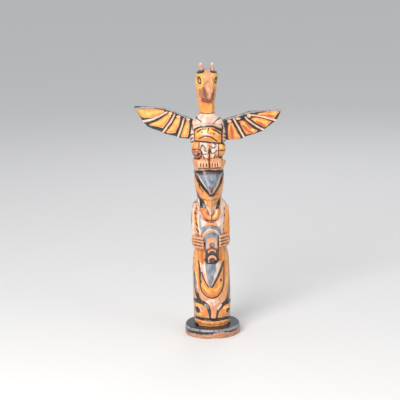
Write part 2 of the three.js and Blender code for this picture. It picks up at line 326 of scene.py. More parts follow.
def polygon_distance(u, z, pts):
    """How far each point lies outside a closed outline; inside it is negative."""
    best = np.full(len(u), 1e9)
    inside = np.zeros(len(u), bool)
    for (ax, az), (bx, bz) in zip(pts, np.roll(pts, -1, axis=0)):
        dx, dz = bx - ax, bz - az
        t = np.clip(((u - ax) * dx + (z - az) * dz) / (dx * dx + dz * dz + 1e-12), 0, 1)
        best = np.minimum(best, (u - ax - t * dx) ** 2 + (z - az - t * dz) ** 2)
        if az != bz:
            inside ^= ((az > z) != (bz > z)) & (u < (bx - ax) * (z - az) / (bz - az) + ax)
    return np.sqrt(best) * np.where(inside, -1, 1)


def curve_through(pts, closed, steps=5):
    """A smooth curve through its points."""
    n = len(pts)
    if n < 3:
        return pts
    if closed:
        ring = np.vstack([pts[-1:], pts, pts[:2]])
    else:
        ring = np.vstack([2 * pts[:1] - pts[1:2], pts, 2 * pts[-1:] - pts[-2:-1]])
    out = []
    for i in range(n if closed else n - 1):
        a, b, c, d = ring[i:i + 4]
        for t in np.arange(steps) / steps:
            out.append(0.5 * (2 * b + (c - a) * t + (2 * a - 5 * b + 4 * c - d) * t * t
                              + (3 * b - a - 3 * c + d) * t ** 3))
    if not closed:
        out.append(pts[-1])
    return np.array(out)


def path_distance(u, z, pts, widths):
    """How far each point lies outside a brush stroke whose width changes from end to end."""
    best = np.full(len(u), 1e9)
    half = np.interp(np.linspace(0, 1, len(pts)), np.linspace(0, 1, len(widths)), widths) / 2
    for (ax, az), (bx, bz), ha, hb in zip(pts, pts[1:], half, half[1:]):
        dx, dz = bx - ax, bz - az
        t = np.clip(((u - ax) * dx + (z - az) * dz) / (dx * dx + dz * dz + 1e-12), 0, 1)
        best = np.minimum(best, np.hypot(u - ax - t * dx, z - az - t * dz) - ha - (hb - ha) * t)
    return best


def fill_pinches(grid):
    """Fills the grid points where two parts of the wood would meet only along an edge."""
    for axis in range(3):
        layers = np.moveaxis(grid, axis, 0)
        a, b, c, d = layers[:, :-1, :-1], layers[:, 1:, :-1], layers[:, :-1, 1:], layers[:, 1:, 1:]
        crossed = ((a < 0) == (d < 0)) & ((b < 0) == (c < 0)) & ((a < 0) != (b < 0))
        a[crossed & (a >= 0)] = FILLED
        b[crossed & (b >= 0)] = FILLED


def surface(field, low, high, cell):
    """The field's zero surface as quads: one vertex in each grid cell that the surface crosses."""
    low, high = np.array(low, float) - 2 * cell, np.array(high, float) + 2 * cell
    count = np.ceil((high - low) / cell).astype(int) + 1
    axes = [low[k] + cell * np.arange(count[k]) for k in range(3)]
    grid = np.empty(count)
    for i, x in enumerate(axes[0]):
        y, z = np.meshgrid(axes[1], axes[2], indexing="ij")
        p = np.column_stack([np.full(y.size, x), y.ravel(), z.ravel()])
        grid[i] = field(p).reshape(count[1:])
    # Filling one pinch can make another, so it is done three times.
    for _ in range(3):
        fill_pinches(grid)
    inside = grid < 0
    cells = count - 1
    total = int(np.prod(cells))
    sums, hits, quads = np.zeros((3, total)), np.zeros(total), []
    for a in range(3):
        b, c = (a + 1) % 3, (a + 2) % 3
        first = [slice(None)] * 3
        second = [slice(None)] * 3
        first[a], second[a] = slice(0, -1), slice(1, None)
        f0, f1 = grid[tuple(first)], grid[tuple(second)]
        at = np.array(np.nonzero(inside[tuple(first)] != inside[tuple(second)]))
        g0, g1 = f0[tuple(at)], f1[tuple(at)]
        point = at.astype(float)
        point[a] += g0 / (g0 - g1)
        corners = []
        for db, dc in ((-1, -1), (0, -1), (0, 0), (-1, 0)):
            corner = at.copy()
            corner[b] += db
            corner[c] += dc
            flat = np.ravel_multi_index(corner, cells)
            corners.append(flat)
            hits += np.bincount(flat, minlength=total)
            for k in range(3):
                sums[k] += np.bincount(flat, weights=point[k], minlength=total)
        face = np.array(corners).T
        out = g0 > 0
        face[out] = face[out][:, ::-1]
        quads.append(face)
    used = np.nonzero(hits)[0]
    number = np.full(total, -1)
    number[used] = np.arange(len(used))
    verts = low + cell * (sums[:, used] / hits[used]).T
    # Two Newton steps bring each vertex onto the surface, each by less than half a cell.
    step = 0.05
    for _ in range(2):
        f0 = field(verts)
        g = np.column_stack([(field(verts + step * np.eye(3)[k]) - f0) / step for k in range(3)])
        move = f0[:, None] * g / np.maximum((g * g).sum(1), 0.2)[:, None]
        size = np.linalg.norm(move, axis=1)
        move *= np.minimum(1, 0.45 * cell / np.maximum(size, 1e-9))[:, None]
        verts = verts - move
    return verts, number[np.vstack(quads)]


def normals_of(verts, quads):
    """The outward direction at each vertex."""
    cross = np.cross(verts[quads[:, 2]] - verts[quads[:, 0]], verts[quads[:, 3]] - verts[quads[:, 1]])
    total = np.zeros_like(verts)
    for k in range(4):
        for axis in range(3):
            total[:, axis] += np.bincount(quads[:, k], weights=cross[:, axis], minlength=len(verts))
    return total / np.maximum(np.linalg.norm(total, axis=1), 1e-9)[:, None]


def neighbour_mean(values, quads):
    """The mean of each vertex's neighbours."""
    total, count = np.zeros_like(values), np.zeros(len(values))
    for k in range(4):
        a, b = quads[:, k], quads[:, (k + 1) % 4]
        count += np.bincount(a, minlength=len(values))
        for axis in range(values.shape[1]):
            total[:, axis] += np.bincount(a, weights=values[b, axis], minlength=len(values))
    return total / np.maximum(count, 1)[:, None]


def hollows(verts, quads, rounds):
    """How far each point lies below (positive) or above its surroundings, in mm."""
    smoothed = verts
    for _ in range(rounds):
        smoothed = 0.3 * smoothed + 0.7 * neighbour_mean(smoothed, quads)
    depth = ((smoothed - verts) * normals_of(smoothed, quads)).sum(1)
    return neighbour_mean(depth[:, None], quads)[:, 0]


# ---------------------------------------------------------------- painting

class Skin:
    """The paint on one piece. Each colour has its distance in mm, negative where it is laid, and every
    new shape covers the ones before it. A shape may also be cut into or raised from the wood."""

    def __init__(self, u, z, place):
        self.u, self.z, self.place = u, z, place
        self.paint = {name: np.full(len(u), REACH) for name in COLOURS}
        self.relief = np.zeros(len(u))
        # Soft tints over the paint: dark glaze and painted shade, and a red blush.
        self.tints = {"shade": np.zeros(len(u)), "blush": np.zeros(len(u))}

    def lay(self, colour, near, d, relief):
        """Lays a shape over what is there. Wood is no paint, so it only clears the others."""
        rank = COLOURS.index(colour) if colour in COLOURS else -1
        for i, name in enumerate(COLOURS):
            layer = self.paint[name]
            if i == rank:
                layer[near] = np.clip(np.minimum(layer[near], d), -REACH, REACH)
            elif i > rank:
                layer[near] = np.maximum(layer[near], np.clip(-d, -REACH, REACH))
        if relief:
            self.relief[near] += relief * smooth((EDGE / 2 - d) / EDGE)

    def near(self, pts, margin=REACH):
        low, high = pts.min(0) - margin, pts.max(0) + margin
        across = (self.u > low[0]) & (self.u < high[0])
        return np.nonzero(across & (self.z > low[1]) & (self.z < high[1]))[0]

    def patch(self, colour, pts, relief=0.0, curved=True, place=None):
        """A filled shape."""
        pts = (place or self.place)(np.array(pts, float))
        pts = curve_through(pts, True) if curved else pts
        near = self.near(pts)
        self.lay(colour, near, polygon_distance(self.u[near], self.z[near], pts), relief)

    def stretch(self, pts):
        """How much wider the skin is than it looks from the front."""
        return (self.place(pts + [0.5, 0]) - self.place(pts - [0.5, 0]))[:, 0]

    def brush(self, colour, pts, width, relief=0.0, place=None):
        """A line whose width, or list of widths, runs from its start to its end."""
        pts = curve_through(np.array(pts, float), False)
        widths = np.atleast_1d(np.array(width, float))
        widths = np.interp(np.linspace(0, 1, len(pts)), np.linspace(0, 1, len(widths)), widths)
        if colour in DARK_PAINTS:
            widths += DARK_EXTRA
        if place is None:
            along, wide = np.gradient(pts, axis=0), self.stretch(pts)
            along /= np.linalg.norm(along, axis=1)[:, None] + 1e-9
            widths *= np.clip(wide / np.hypot(along[:, 0] * wide, along[:, 1]), 1, BRUSH_STRETCH)
        pts = (place or self.place)(pts)
        near = self.near(pts, REACH + widths.max() / 2)
        self.lay(colour, near, path_distance(self.u[near], self.z[near], pts, widths), relief)

    def dot(self, colour, centre, size, tilt=0.0, relief=0.0, ring=0.0, place=None):
        """An oval spot `size` wide and high. With `ring`, only a line of that width round it."""
        centre = np.array([centre], float)
        if place is None:
            size = (size[0] * float(np.clip(self.stretch(centre)[0], 1, DOT_STRETCH)), size[1])
        centre = (place or self.place)(centre)[0]
        reach = np.array([[-1, -1], [1, 1]]) * max(size) / 2 + centre
        near = self.near(reach)
        c, s = math.cos(math.radians(tilt)), math.sin(math.radians(tilt))
        du, dz = self.u[near] - centre[0], self.z[near] - centre[1]
        q = np.hypot((c * du + s * dz) / size[0], (c * dz - s * du) / size[1]) * 2 + 1e-6
        d = np.hypot(du, dz) * (1 - 1 / q)
        d = np.maximum(d, -min(size) / 2)
        if ring:
            d = np.abs(d + ring / 2) - ring / 2
        self.lay(colour, near, d, relief)

    def glaze_and_shade(self, amount, pts, width, place=None, tint="shade"):
        """A soft darkening along a path, strongest in its middle: a dark glaze on some marks and painted
        shade on others. With the tint `blush` it is a soft red blush instead.
        """
        pts = curve_through((place or self.place)(np.array(pts, float)), False)
        widths = np.atleast_1d(np.array(width, float))
        near = self.near(pts, widths.max() / 2 + 1)
        core = path_distance(self.u[near], self.z[near], pts, [0])
        size = path_distance(self.u[near], self.z[near], pts, widths)
        self.tints[tint][near] += amount * smooth(size / np.minimum(size - core, -0.01))

    def blush(self, amount, pts, width, place=None):
        self.glaze_and_shade(amount, pts, width, place, "blush")


# Up to CORNER round from the front, the skin is drawn as it is seen from there. From EASE on, it is drawn by
# its girth, and the one passes smoothly into the other between them.
CORNER, EASE = math.radians(50), math.radians(75)
EASE_GAIN = (1 - math.cos(CORNER)) / (EASE - CORNER)
POLAR_FROM, POLAR_OVER = 0.8, 0.15  # in half widths: where a point's angle is taken round the pole instead


def skin_reach(angle):
    """How far round the skin an angle from the front is, in half widths."""
    over = np.clip(angle, CORNER, EASE) - CORNER
    eased = math.sin(CORNER) + math.cos(CORNER) * over + EASE_GAIN * over ** 2 / 2
    eased += np.maximum(angle - EASE, 0)
    return np.where(angle < CORNER, np.sin(np.minimum(angle, CORNER)), eased)


def unrolled(p):
    """Each point's place round the skin: x as seen from the front, and further round the girth."""
    half, front, back, lean = billet_at(p[:, 2])
    x = p[:, 0] - lean
    across = np.abs(x) / half
    angle = np.arcsin(np.clip(across, 0, 1))
    angle = np.where(p[:, 1] > 0, math.pi - angle, angle)
    polar = np.arctan2(across, -p[:, 1] / np.where(p[:, 1] < 0, front, back))
    angle += smooth((across - POLAR_FROM) / POLAR_OVER) * (polar - angle)
    return lean + np.sign(x) * half * skin_reach(angle)


def from_front(pts):
    """Points given as they are seen from the front."""
    half, _, _, lean = billet_at(pts[:, 1])
    x = pts[:, 0] - lean
    angle = np.arcsin(np.clip(np.abs(x) / half, 0, 1))
    u = lean + np.sign(x) * (half * skin_reach(angle) + np.maximum(np.abs(x) - half, 0))
    return np.column_stack([u, pts[:, 1]])


def from_angle(pts):
    """Points given as degrees round from the front (right is positive) and height."""
    half, _, _, lean = billet_at(pts[:, 1])
    angle = np.radians(pts[:, 0])
    return np.column_stack([lean + np.sign(angle) * half * skin_reach(np.abs(angle)), pts[:, 1]])


def paint_wide_face(s):
    s.patch("orange", [(-29, 34), (-29.5, 46), (-26, 55), (-16, 56), (-8, 50), (-6, 40), (-9, 33),
            (-18, 31)])
    s.patch("orange", [(8, 34), (7, 42), (12, 50), (24, 52), (30, 47), (30, 36), (18, 31)])
    s.brush("yellow", [(-26, 53), (-18, 52.5)], 3)
    s.brush("yellow", [(-27, 36), (-19, 35.5)], 3)
    s.brush("yellow", [(18, 46), (25, 47)], 3)
    s.patch("orange", [(-29.5, 22), (-24, 20), (-12, 17.2), (0, 16.6), (12, 17.2), (24, 19.5), (29.5, 21),
            (24, 24), (10, 25.5), (0, 26), (-12, 25.8), (-24, 26)], relief=0.3)
    s.brush("black", [(-31, 29), (-24, 29.2), (-10, 28.3), (0, 27.8), (12, 28), (24, 27.5), (29.5, 24.5)],
            [3.5, 4.6, 4.2, 4.8], relief=-0.9)
    s.brush("black", [(-30.5, 18.5), (-25, 17.2)], 3)
    s.brush("black", [(30.5, 18.2), (25, 16.8)], 3)
    s.patch("wood", [(-2.6, 33), (-3.4, 44), (-5, 52), (-14, 57), (-9, 63), (0, 64), (8, 63), (13, 57),
            (6, 52), (3.6, 44), (2.8, 33)])
    s.patch("pale", [(-12, 59), (-6, 54.6), (0, 52.6), (7, 55), (11, 58.4), (7, 61.6), (0, 62.6), (-7, 62)])
    s.blush(0.34, [(-6, 60), (0, 56), (6, 60)], [6, 11, 6])
    s.blush(0.5, [(-2, 57), (0, 48), (0, 34)], [5, 5, 4])
    s.brush("black", [(-30, 58), (-23, 58), (-15, 56), (-9, 50.4), (-6, 42), (-4.8, 31)],
            [6, 7, 7, 6.4, 5, 2.8], relief=0.5)
    s.brush("black", [(30, 54), (25, 55.4), (18, 53.4), (12.5, 49), (8, 43), (5.4, 31)],
            [6, 7, 7, 6.4, 5, 2.8], relief=0.5)
    s.patch("blue", [(-14, 55), (-13, 51), (-8.5, 46), (-7, 50), (-9, 54.5)])
    s.patch("pale", [(6.5, 46), (9, 51), (14, 54), (14.5, 51.5), (11, 47.5), (8, 44.5)])
    s.dot("pale", (-17, 43.6), (5, 6))
    s.blush(0.9, [(-18.4, 46), (-16.4, 43)], [5, 6])
    s.glaze_and_shade(0.25, [(-28, 38), (-22, 34), (-12, 36)], 5)
    s.glaze_and_shade(0.25, [(10, 36), (20, 33), (28, 37)], 5)
    # The eyes.
    for x, z, w, h, tilt in ((-25, 44, 5.4, 11, 4), (25.6, 41, 5.2, 9, -4)):
        s.dot("pale", (x, z), (w + 3.6, h + 3), tilt, ring=0.9)
        s.dot("black", (x, z), (w + 0.8, h + 0.6), tilt, relief=0.4)


def paint_held_head(s):
    for sgn in (-1, 1):
        s.patch("orange", flip(sgn, [(20, 66), (25.4, 64), (27.4, 84), (28.2, 110), (26, 146), (22.6, 146),
                (22.4, 110), (21.8, 86)]))
        s.brush("yellow", flip(sgn, [(24.6, 72), (25.4, 92), (25.2, 118), (24.4, 140)]), [1.4, 3, 3, 1.4])
    s.patch("orange", [(-20, 126), (-20, 104), (-19.5, 86), (-15, 74), (-8, 67), (2, 66), (10, 70),
            (16, 78), (19, 90), (20, 106), (20, 126)])
    s.glaze_and_shade(0.3, [(-15, 80), (-8, 71), (2, 68.6), (10, 73), (14.6, 81)], [4, 7, 6, 7, 4])
    s.brush("yellow", [(-16, 92), (-15, 85), (-11, 79), (-5, 75.6)], [1.6, 4, 3, 1])
    s.brush("yellow", [(13.6, 90), (10, 83), (4.4, 79), (0, 78)], [1.4, 4, 3, 1])
    s.brush("orange", [(23, 124), (23.5, 112), (23, 100)], [4, 6, 3])
    line = [(-21.3, 124), (-20.5, 106), (-20.5, 86), (-19, 79.5), (-16.5, 73.5), (-11.5, 68), (-3, 65.2),
            (4, 65.8), (9, 68.2), (13, 72), (15.8, 76), (17.8, 82), (19.6, 90), (20.3, 106), (20.8, 125)]
    s.brush("brown", line, [1.2, 1.4, 1.9, 2.1, 1.9, 1.3, 0.9], relief=-1.2)
    # Painted shadow along the outline, where the head stands proud of the wood round it.
    s.glaze_and_shade(0.6, line, 5)
    s.brush("black", [(-20.6, 126), (-19.8, 114), (-19.6, 100), (-20.4, 88)], [3.4, 2.6, 2, 1])
    s.blush(0.4, [(-11, 72), (-3, 69.6), (4, 70), (10, 74)], [5, 7, 7, 5])
    s.patch("blue", [(-11, 126), (-10, 110), (-8, 100), (-6.5, 92), (-4.5, 84.5), (-2.6, 85.5), (-1.6, 91),
            (0.4, 97.5), (2, 104), (5, 112), (7, 126)])
    s.patch("pale", [(-19.5, 126), (-18, 112), (-15.5, 102), (-12, 94), (-7.5, 85.5), (-6.2, 86.5),
            (-8, 96), (-10.5, 108), (-11.8, 126)])
    s.patch("pale", [(7.5, 126), (5.4, 112), (2.4, 104), (0.4, 98), (-2.6, 86), (0, 89), (6.5, 98),
            (11, 110), (16, 126)])
    s.brush("black", [(-17, 108), (-14, 98), (-11.2, 91.8), (-6.6, 84)], [2.2, 2, 1.8], relief=-0.5)
    s.brush("black", [(18.2, 125), (16.4, 117), (13.8, 111), (11.6, 106.5), (8.6, 101), (5.8, 96.5),
            (3, 91.5), (-0.8, 84.5)], [3.8, 4.4, 4.2, 3.8, 3], relief=-0.5)
    # Dark bands rise from the wide face's brows up both sides, each with a thin blue-grey painted highlight
    # along it.
    s.brush("black", [(-21, 59), (-24.6, 66), (-26.6, 76), (-28, 88), (-29, 106)], [6, 5.6, 5, 4.6, 2])
    s.brush("blue", [(-25.8, 72), (-27, 82), (-28.4, 99)], [1, 2.6, 1])
    s.brush("black", [(22, 56), (26, 62), (28, 72), (29, 94)], [5.8, 5, 4.2, 1.6])
    s.brush("blue", [(27, 66), (28, 75), (28.6, 86)], [0.8, 2, 0.8])
    s.brush("pale", [(-23.6, 72), (-24.6, 82), (-25.2, 96)], [0.8, 1.6, 0.6])
    s.blush(0.3, [(-17, 116), (-13, 104), (-9, 91)], [6, 6, 4])
    s.dot("brown", (-2.4, 84.4), (3.4, 2.6))
    s.dot("black", (-19, 92.5), (2.6, 4.2))
    s.dot("black", (14.2, 95), (3.4, 5.8))


def paint_held_body(s):
    s.patch("orange", [(-20.6, 148.5), (-21.2, 138), (-20, 126), (-11, 126), (-10, 149)])
    s.glaze_and_shade(0.35, [(-16, 147), (-15.6, 134), (-16, 124)], [10, 8, 6])
    s.blush(0.45, [(-15, 147), (-15, 134), (-15.6, 122)], [8, 7, 5])
    s.patch("orange", [(12, 152), (12.4, 128), (19, 124), (21, 138), (20.4, 151)])
    s.glaze_and_shade(0.25, [(17, 152), (16, 142), (16, 132)], [8, 6, 5])
    s.blush(0.5, [(14.6, 148), (14.8, 138), (15, 128)], [5, 5, 4])
    s.brush("brown", [(21.4, 151), (21.8, 140)], [1, 0.5])
    s.glaze_and_shade(0.4, [(21.4, 150), (21.8, 138), (21, 127)], 3)
    s.glaze_and_shade(0.4, [(-21, 147), (-21.6, 138), (-21, 127)], 3)
    s.patch("black", [(-9.8, 152), (-10.2, 140), (-10.8, 127.5), (-7, 125), (0, 124.4), (6, 125),
            (11, 127.5), (11.6, 140), (11.6, 152)])
    s.patch("blue", [(-9, 152), (-9, 146), (-6, 148.4), (0, 151.4), (6, 148.4), (10.6, 146), (10.8, 152)])
    s.glaze_and_shade(1.0, [(-9, 147), (0, 151), (10.4, 147)], 6)
    # The arched back, its bands one within the other.
    s.patch("blue", [(-17.6, 170), (-18.4, 177), (-15, 184), (-8, 188), (0, 189.6), (7, 188), (13, 183.6),
            (16.4, 177), (15.6, 170)], relief=0.4)
    s.glaze_and_shade(0.75, [(-6, 187), (0, 187.6), (8, 185.6)], [3.4, 4.6, 3])
    s.patch("pale", [(-13, 168), (-13, 174), (-9.4, 179), (-3, 182), (1, 182.2), (7, 180), (12, 175),
            (13.4, 168)])
    s.patch("wood", [(-12, 168), (-12, 173.4), (-8.8, 177.8), (-3, 180.6), (1, 180.8), (6.4, 178.6),
            (11, 174), (12.4, 168)])
    s.glaze_and_shade(0.3, [(-11.6, 172), (-5, 179), (2, 180), (10, 175)], 2)
    s.patch("blue", [(-12, 149), (-12.4, 163), (-10.6, 171), (-5.6, 176.4), (0, 178), (6, 176.6),
            (11.6, 171.4), (14, 163), (13.4, 149)], relief=0.3)
    s.glaze_and_shade(0.5, [(-7, 172), (0, 176), (7, 173)], [4, 6, 5])
    s.glaze_and_shade(0.5, [(-10.8, 162), (-10, 151)], [2, 4])
    s.glaze_and_shade(0.5, [(12.2, 162), (11.6, 151)], [2, 4])
    s.brush("pale", [(12.6, 168), (13.6, 160), (13, 152)], [1.2, 1.8, 1])
    s.patch("wood", [(-7.6, 150.6), (-8, 159), (-6, 165.6), (0, 169.4), (5.4, 167), (8.6, 160),
            (8.4, 150.6)], relief=-0.3)
    s.dot("orange", (-1.6, 165.4), (7, 3.6), 12)
    s.dot("blue", (0.6, 156.4), (8.6, 10.4), relief=0.4)
    s.glaze_and_shade(0.9, [(-3.4, 157), (-1.6, 153)], [3, 4.6])
    s.glaze_and_shade(0.4, [(0, 151.4), (5, 152)], 3)
    for top in (150.4, 138.2):
        s.patch("wood", [(-6.6, top - 5.6), (-5.6, top - 2), (-0.6, top + 0.6), (5, top - 1), (7, top - 5),
                (6.4, top - 7.4), (0.6, top - 5), (-5.6, top - 7.6)], relief=0.3)
        s.dot("brown", (0.4, top - 6), (9, 4.6))
        s.glaze_and_shade(0.7, [(-3, top - 6.6), (4, top - 6.6)], 4)
        s.patch("wood", [(-6, top - 5), (-4.6, top - 2), (0, top), (4.6, top - 1.6), (6, top - 5),
                (0.4, top - 3)])
    for sgn, middle in HANDS.items():
        hand = [(14.6, 152), (14.6, 168), (22, 171), (30, 168), (31, 156), (26, 149.6), (18, 149.6)]
        s.patch("wood", [(sgn * x, z + middle - 160) for x, z in hand])
        # Each finger: a dark line in the cut between, painted shade along it, and a pale painted highlight
        # along its top.
        for up in (5, 0, -5):
            s.brush("brown", flip(sgn, [(15, middle + up), (20, middle + up + 0.5), (25.4, middle + up)]),
                    [0.7, 0.9 if sgn < 0 else 0.6, 0], relief=-0.7)
            s.glaze_and_shade(0.4, flip(sgn, [(15, middle + up), (24, middle + up)]), 3)
            s.brush("pale", flip(sgn, [(18, middle + up + 2.6), (24, middle + up + 2.9)]), [0.9, 1.5, 0.7])
    # Under each hand, a red-brown painted shadow with a dark line in it.
    s.blush(0.5, [(13.6, 152), (20, 152.4), (26, 151.4)], [3, 5, 4])
    s.brush("brown", [(14.6, 150.6), (20, 151), (25, 150)], [0.8, 1.6, 0.8])
    s.glaze_and_shade(0.8, [(14, 150), (20, 150.6), (28, 149.4)], [4, 5, 4])
    s.brush("brown", [(-13.5, 148.4), (-20, 147.6), (-28, 148.2)], 1.2)
    s.glaze_and_shade(0.6, [(-14, 147.6), (-20, 147), (-28, 147.6)], 4)


def paint_chest(s):
    s.patch("wood", [(-14, 228), (-15.4, 205), (-13, 188), (13, 188), (15, 205), (14, 228)])
    for sgn in (-1, 1):
        s.patch("pale", flip(sgn, [(15.4, 210), (12.6, 199), (8, 193), (9, 189), (15, 186)]))
    s.patch("pale", [(-4, 228), (-3, 216), (-0.6, 206), (2.4, 206), (4.4, 216), (5.6, 228)])
    s.patch("wood", [(-3, 232), (-2.4, 220), (0.2, 209), (1.6, 209), (3.6, 220), (4.4, 232)])
    s.patch("black", [(-21.4, 238), (-19.4, 226), (-17.4, 219), (-15.4, 210), (-9, 210), (-7, 219),
            (-8, 224), (-12.6, 231), (-17.4, 238)], curved=False, relief=-0.3)
    s.patch("black", [(18, 238), (16.8, 224), (15.6, 218), (14.6, 210), (9.6, 210), (8, 219), (9.2, 224),
            (13, 230), (15.6, 238)], curved=False, relief=-0.3)
    # A small blue-grey painted highlight on the left dark wedge.
    s.brush("blue", [(-12.6, 224), (-10.4, 218)], [0.5, 1.2, 0.5])
    # The mouth: two lobes that meet in a point, with a dark lower edge.
    s.patch("orange", [(-15.4, 213), (-14.6, 216.6), (-9, 216.4), (-6, 211), (-3, 205.6), (1, 202.6),
            (5, 206), (8, 213), (11.4, 216), (14.6, 213.6), (13.6, 206), (10.6, 199), (5.4, 193.8),
            (-1, 192.6), (-7.4, 195.4), (-12, 202)], relief=0.3)
    s.blush(1.0, [(-13.4, 212), (-11, 205), (-7, 199)], [8, 8, 5])
    s.blush(0.7, [(13.6, 211), (12, 203), (8, 198)], [5, 5.4, 4])
    s.glaze_and_shade(0.3, [(-13.4, 210), (-10, 201), (-5, 197)], [3, 5, 5])
    s.brush("yellow", [(10, 213), (9, 208)], [2.4, 1.6])
    s.glaze_and_shade(0.8, [(-8, 199.4), (-2, 197), (4, 196.4), (9, 200)], [4, 6, 6, 3])
    s.blush(1.0, [(-4, 196.4), (1, 196), (6, 197)], [4, 5.4, 4])
    s.brush("brown", [(-12.8, 202.6), (-8, 196), (-1, 192.8), (6, 194), (11, 199.6), (14.4, 208)],
            [0.6, 1, 1.2, 1, 0.6], relief=-0.6)
    s.brush("blue", [(1.2, 206), (1, 198.6)], [3, 2.4])
    s.glaze_and_shade(0.9, [(1.2, 205), (1, 198)], [3, 4])
    s.brush("yellow", [(-3, 190.6), (0, 190.2), (3, 190.8)], [1, 1.8, 1])
    for sgn in (-1, 1):
        s.brush("pale", [(sgn * 8 + 0.8, 225), (sgn * 5.4 + 1, 214), (sgn * 2 + 1.2, 206)], [2.6, 3, 1.6])
        s.brush("blue", [(sgn * 8.6 + 0.8, 222), (sgn * 6 + 1, 213), (sgn * 2.6 + 1.2, 205)], [0.8, 1.3, 1])
    for sgn in (-1, 1):
        s.patch("pale", flip(sgn, [(16, 172), (16.2, 190), (16, 204), (17.4, 216), (18, 230), (21.4, 228),
                (22, 212), (21.4, 198), (21, 186), (19.4, 172)]))
    s.brush("wood", [(-18.8, 214), (-18, 200), (-18.4, 184)], [1.4, 2, 1.4])
    s.brush("brown", [(-20.6, 226), (-18.6, 219), (-17, 211)], [0.5, 0.9, 0.4])
    s.brush("blue", [(-16.4, 206), (-17.6, 194), (-17, 180)], [1.4, 2, 1.4])
    s.brush("blue", [(17.4, 206), (17.8, 196)], [0.7, 1.1, 0.7])
    s.patch("wood", [(-30, 222), (-26, 226), (-21.4, 224), (-20.6, 208), (-25, 207)])
    for i in range(5):
        z = 224 - 4 * i
        s.brush("red" if i % 2 else "brown", [(-28.4 + 0.4 * i, z - 5), (-24, z - 1), (-21.4, z)],
                [0.7, 1.3, 0.7], relief=-0.3)
    s.glaze_and_shade(0.35, [(-27, 222), (-23, 214)], 6)
    # Arms: a notched cord on each, and outside it orange on the right; on the left, pale and blue-grey, a
    # painted sheen standing for light on black paint.
    s.patch("orange", [(22.6, 172), (23.4, 190), (24, 209), (28.6, 208), (30, 190), (29.4, 172)])
    # A pale painted highlight on the right shoulder.
    s.brush("pale", [(25, 224), (27.2, 215), (29, 206)], [2.4, 3.4, 2])
    s.patch("brown", [(80, 220), (96, 214), (100, 196), (96, 176), (82, 172), (78, 196)], place=from_angle)
    s.patch("orange", [(84, 212), (92, 208), (95, 196), (92, 180), (85, 177), (82, 196)], place=from_angle)
    s.patch("pale", [(-58, 218), (-74, 222), (-96, 214), (-101, 196), (-97, 174), (-60, 171), (-58, 196)],
            place=from_angle)
    s.patch("blue", [(-80, 214), (-92, 209), (-95, 196), (-92, 180), (-80, 176), (-77, 196)],
            place=from_angle)
    s.brush("blue", [(-66, 216), (-67, 196), (-66, 176)], [1.2, 2.8, 1.2], place=from_angle)
    s.brush("orange", [(-26, 212), (-26.4, 194), (-25.4, 176)], [1, 1.6, 1])
    s.brush("brown", [(-24, 213), (-23.6, 196), (-21.4, 174)], [0.5, 0.7, 0.5])
    s.blush(0.25, [(-24.6, 208), (-23.8, 194), (-22, 178)], 4.4)
    dots = [(-25, 207, 2.8, 5), (-24.2, 198, 2.8, 5.6), (-23.2, 188.6, 3, 8.4), (-21.8, 178, 3.2, 9.2),
            (23.2, 213, 2, 4.6), (22.8, 202, 2.2, 6), (21.8, 190, 2.2, 6.4), (21, 178.6, 2.2, 8)]
    for x, z, w, h in dots:
        s.dot("black", (x, z), (w, h), 24 if x < 0 else -8, relief=-0.3)
    s.brush("brown", [(22.4, 216), (22, 196), (20.4, 174)], [0.4, 0.6, 0.4])


def paint_beaked_head(s):
    s.patch("orange", [(-25.4, 268), (-24.4, 255), (-22.6, 247), (-20.4, 240), (-16.6, 233), (-9, 227),
            (-6.6, 221), (0, 219), (8, 220), (11, 225.4), (19, 234), (21.4, 240), (23, 250), (24.8, 264),
            (0, 262)])
    s.patch("wood", [(-4, 241), (-3, 232), (-3.4, 222), (4.4, 222), (5, 232), (7, 241), (1.6, 244)])
    s.dot("yellow", (0, 235.4), (6, 6))
    s.brush("brown", [(-3, 239.4), (4, 238.6), (12, 241.4)], [1.2, 2.2, 1.2])
    s.brush("brown", [(-18.6, 257.6), (-16.6, 250.6), (-12, 243.6)], [1.2, 1.8, 1])
    s.brush("brown", [(-25, 262), (-23.8, 252), (-21.6, 243.4), (-18.4, 236)], 1.2)
    s.brush("black", [(-23.6, 272), (-20.6, 265), (-15.6, 256.6), (-8.6, 248), (-3, 242.4), (1, 240.8),
            (6, 242.2), (11.6, 247), (16.8, 254), (20.6, 261.6), (23.4, 272)],
            [5, 5.6, 5, 4.6, 2.6, 4, 4.4, 4.6, 4.6], relief=-1.5)
    # The upper beak: pale edges, a blue-grey face glazed dark at its point, and a red tip. The blue-grey
    # face is a painted sheen, light on glossy black, and the soft dark band across its top is painted shade.
    s.patch("pale", [(-22.6, 279), (-20, 270), (-13.4, 259), (-5.4, 247.6), (0, 243), (4.6, 245.4),
            (12.6, 255), (19.6, 267), (22.6, 277), (0, 282)])
    s.patch("blue", [(-20.4, 279.4), (-17.6, 271), (-11.8, 261), (-4.8, 250.6), (1, 245.6), (6.2, 250.4),
            (13.4, 261), (19.2, 272), (20, 279), (0, 282)])
    s.glaze_and_shade(0.9, [(-3, 256), (1, 248), (5, 256)], [3, 7, 3])
    s.glaze_and_shade(0.35, [(1, 262), (1, 250)], [6, 12])
    s.dot("red", (1, 246.2), (5.4, 4.6))
    s.brush("black", [(-21, 275.4), (-13, 277.6), (0, 278.4), (13, 277.6), (21.4, 274.8)],
            [3, 2.8, 3.2, 3, 3.2], relief=0.3)
    s.glaze_and_shade(0.95, [(-20, 273.6), (-12, 275.4), (0, 276), (12, 275.4), (20, 273.4)], [8, 10, 11, 10, 8])
    s.brush("blue", [(-9, 263.6), (1, 269.4), (10, 264.6)], [0.8, 1, 0.8], relief=-0.2)
    for sgn in (-1, 1):
        s.brush("brown", flip(sgn, [(24, 278), (25.6, 288)]), 1.4)


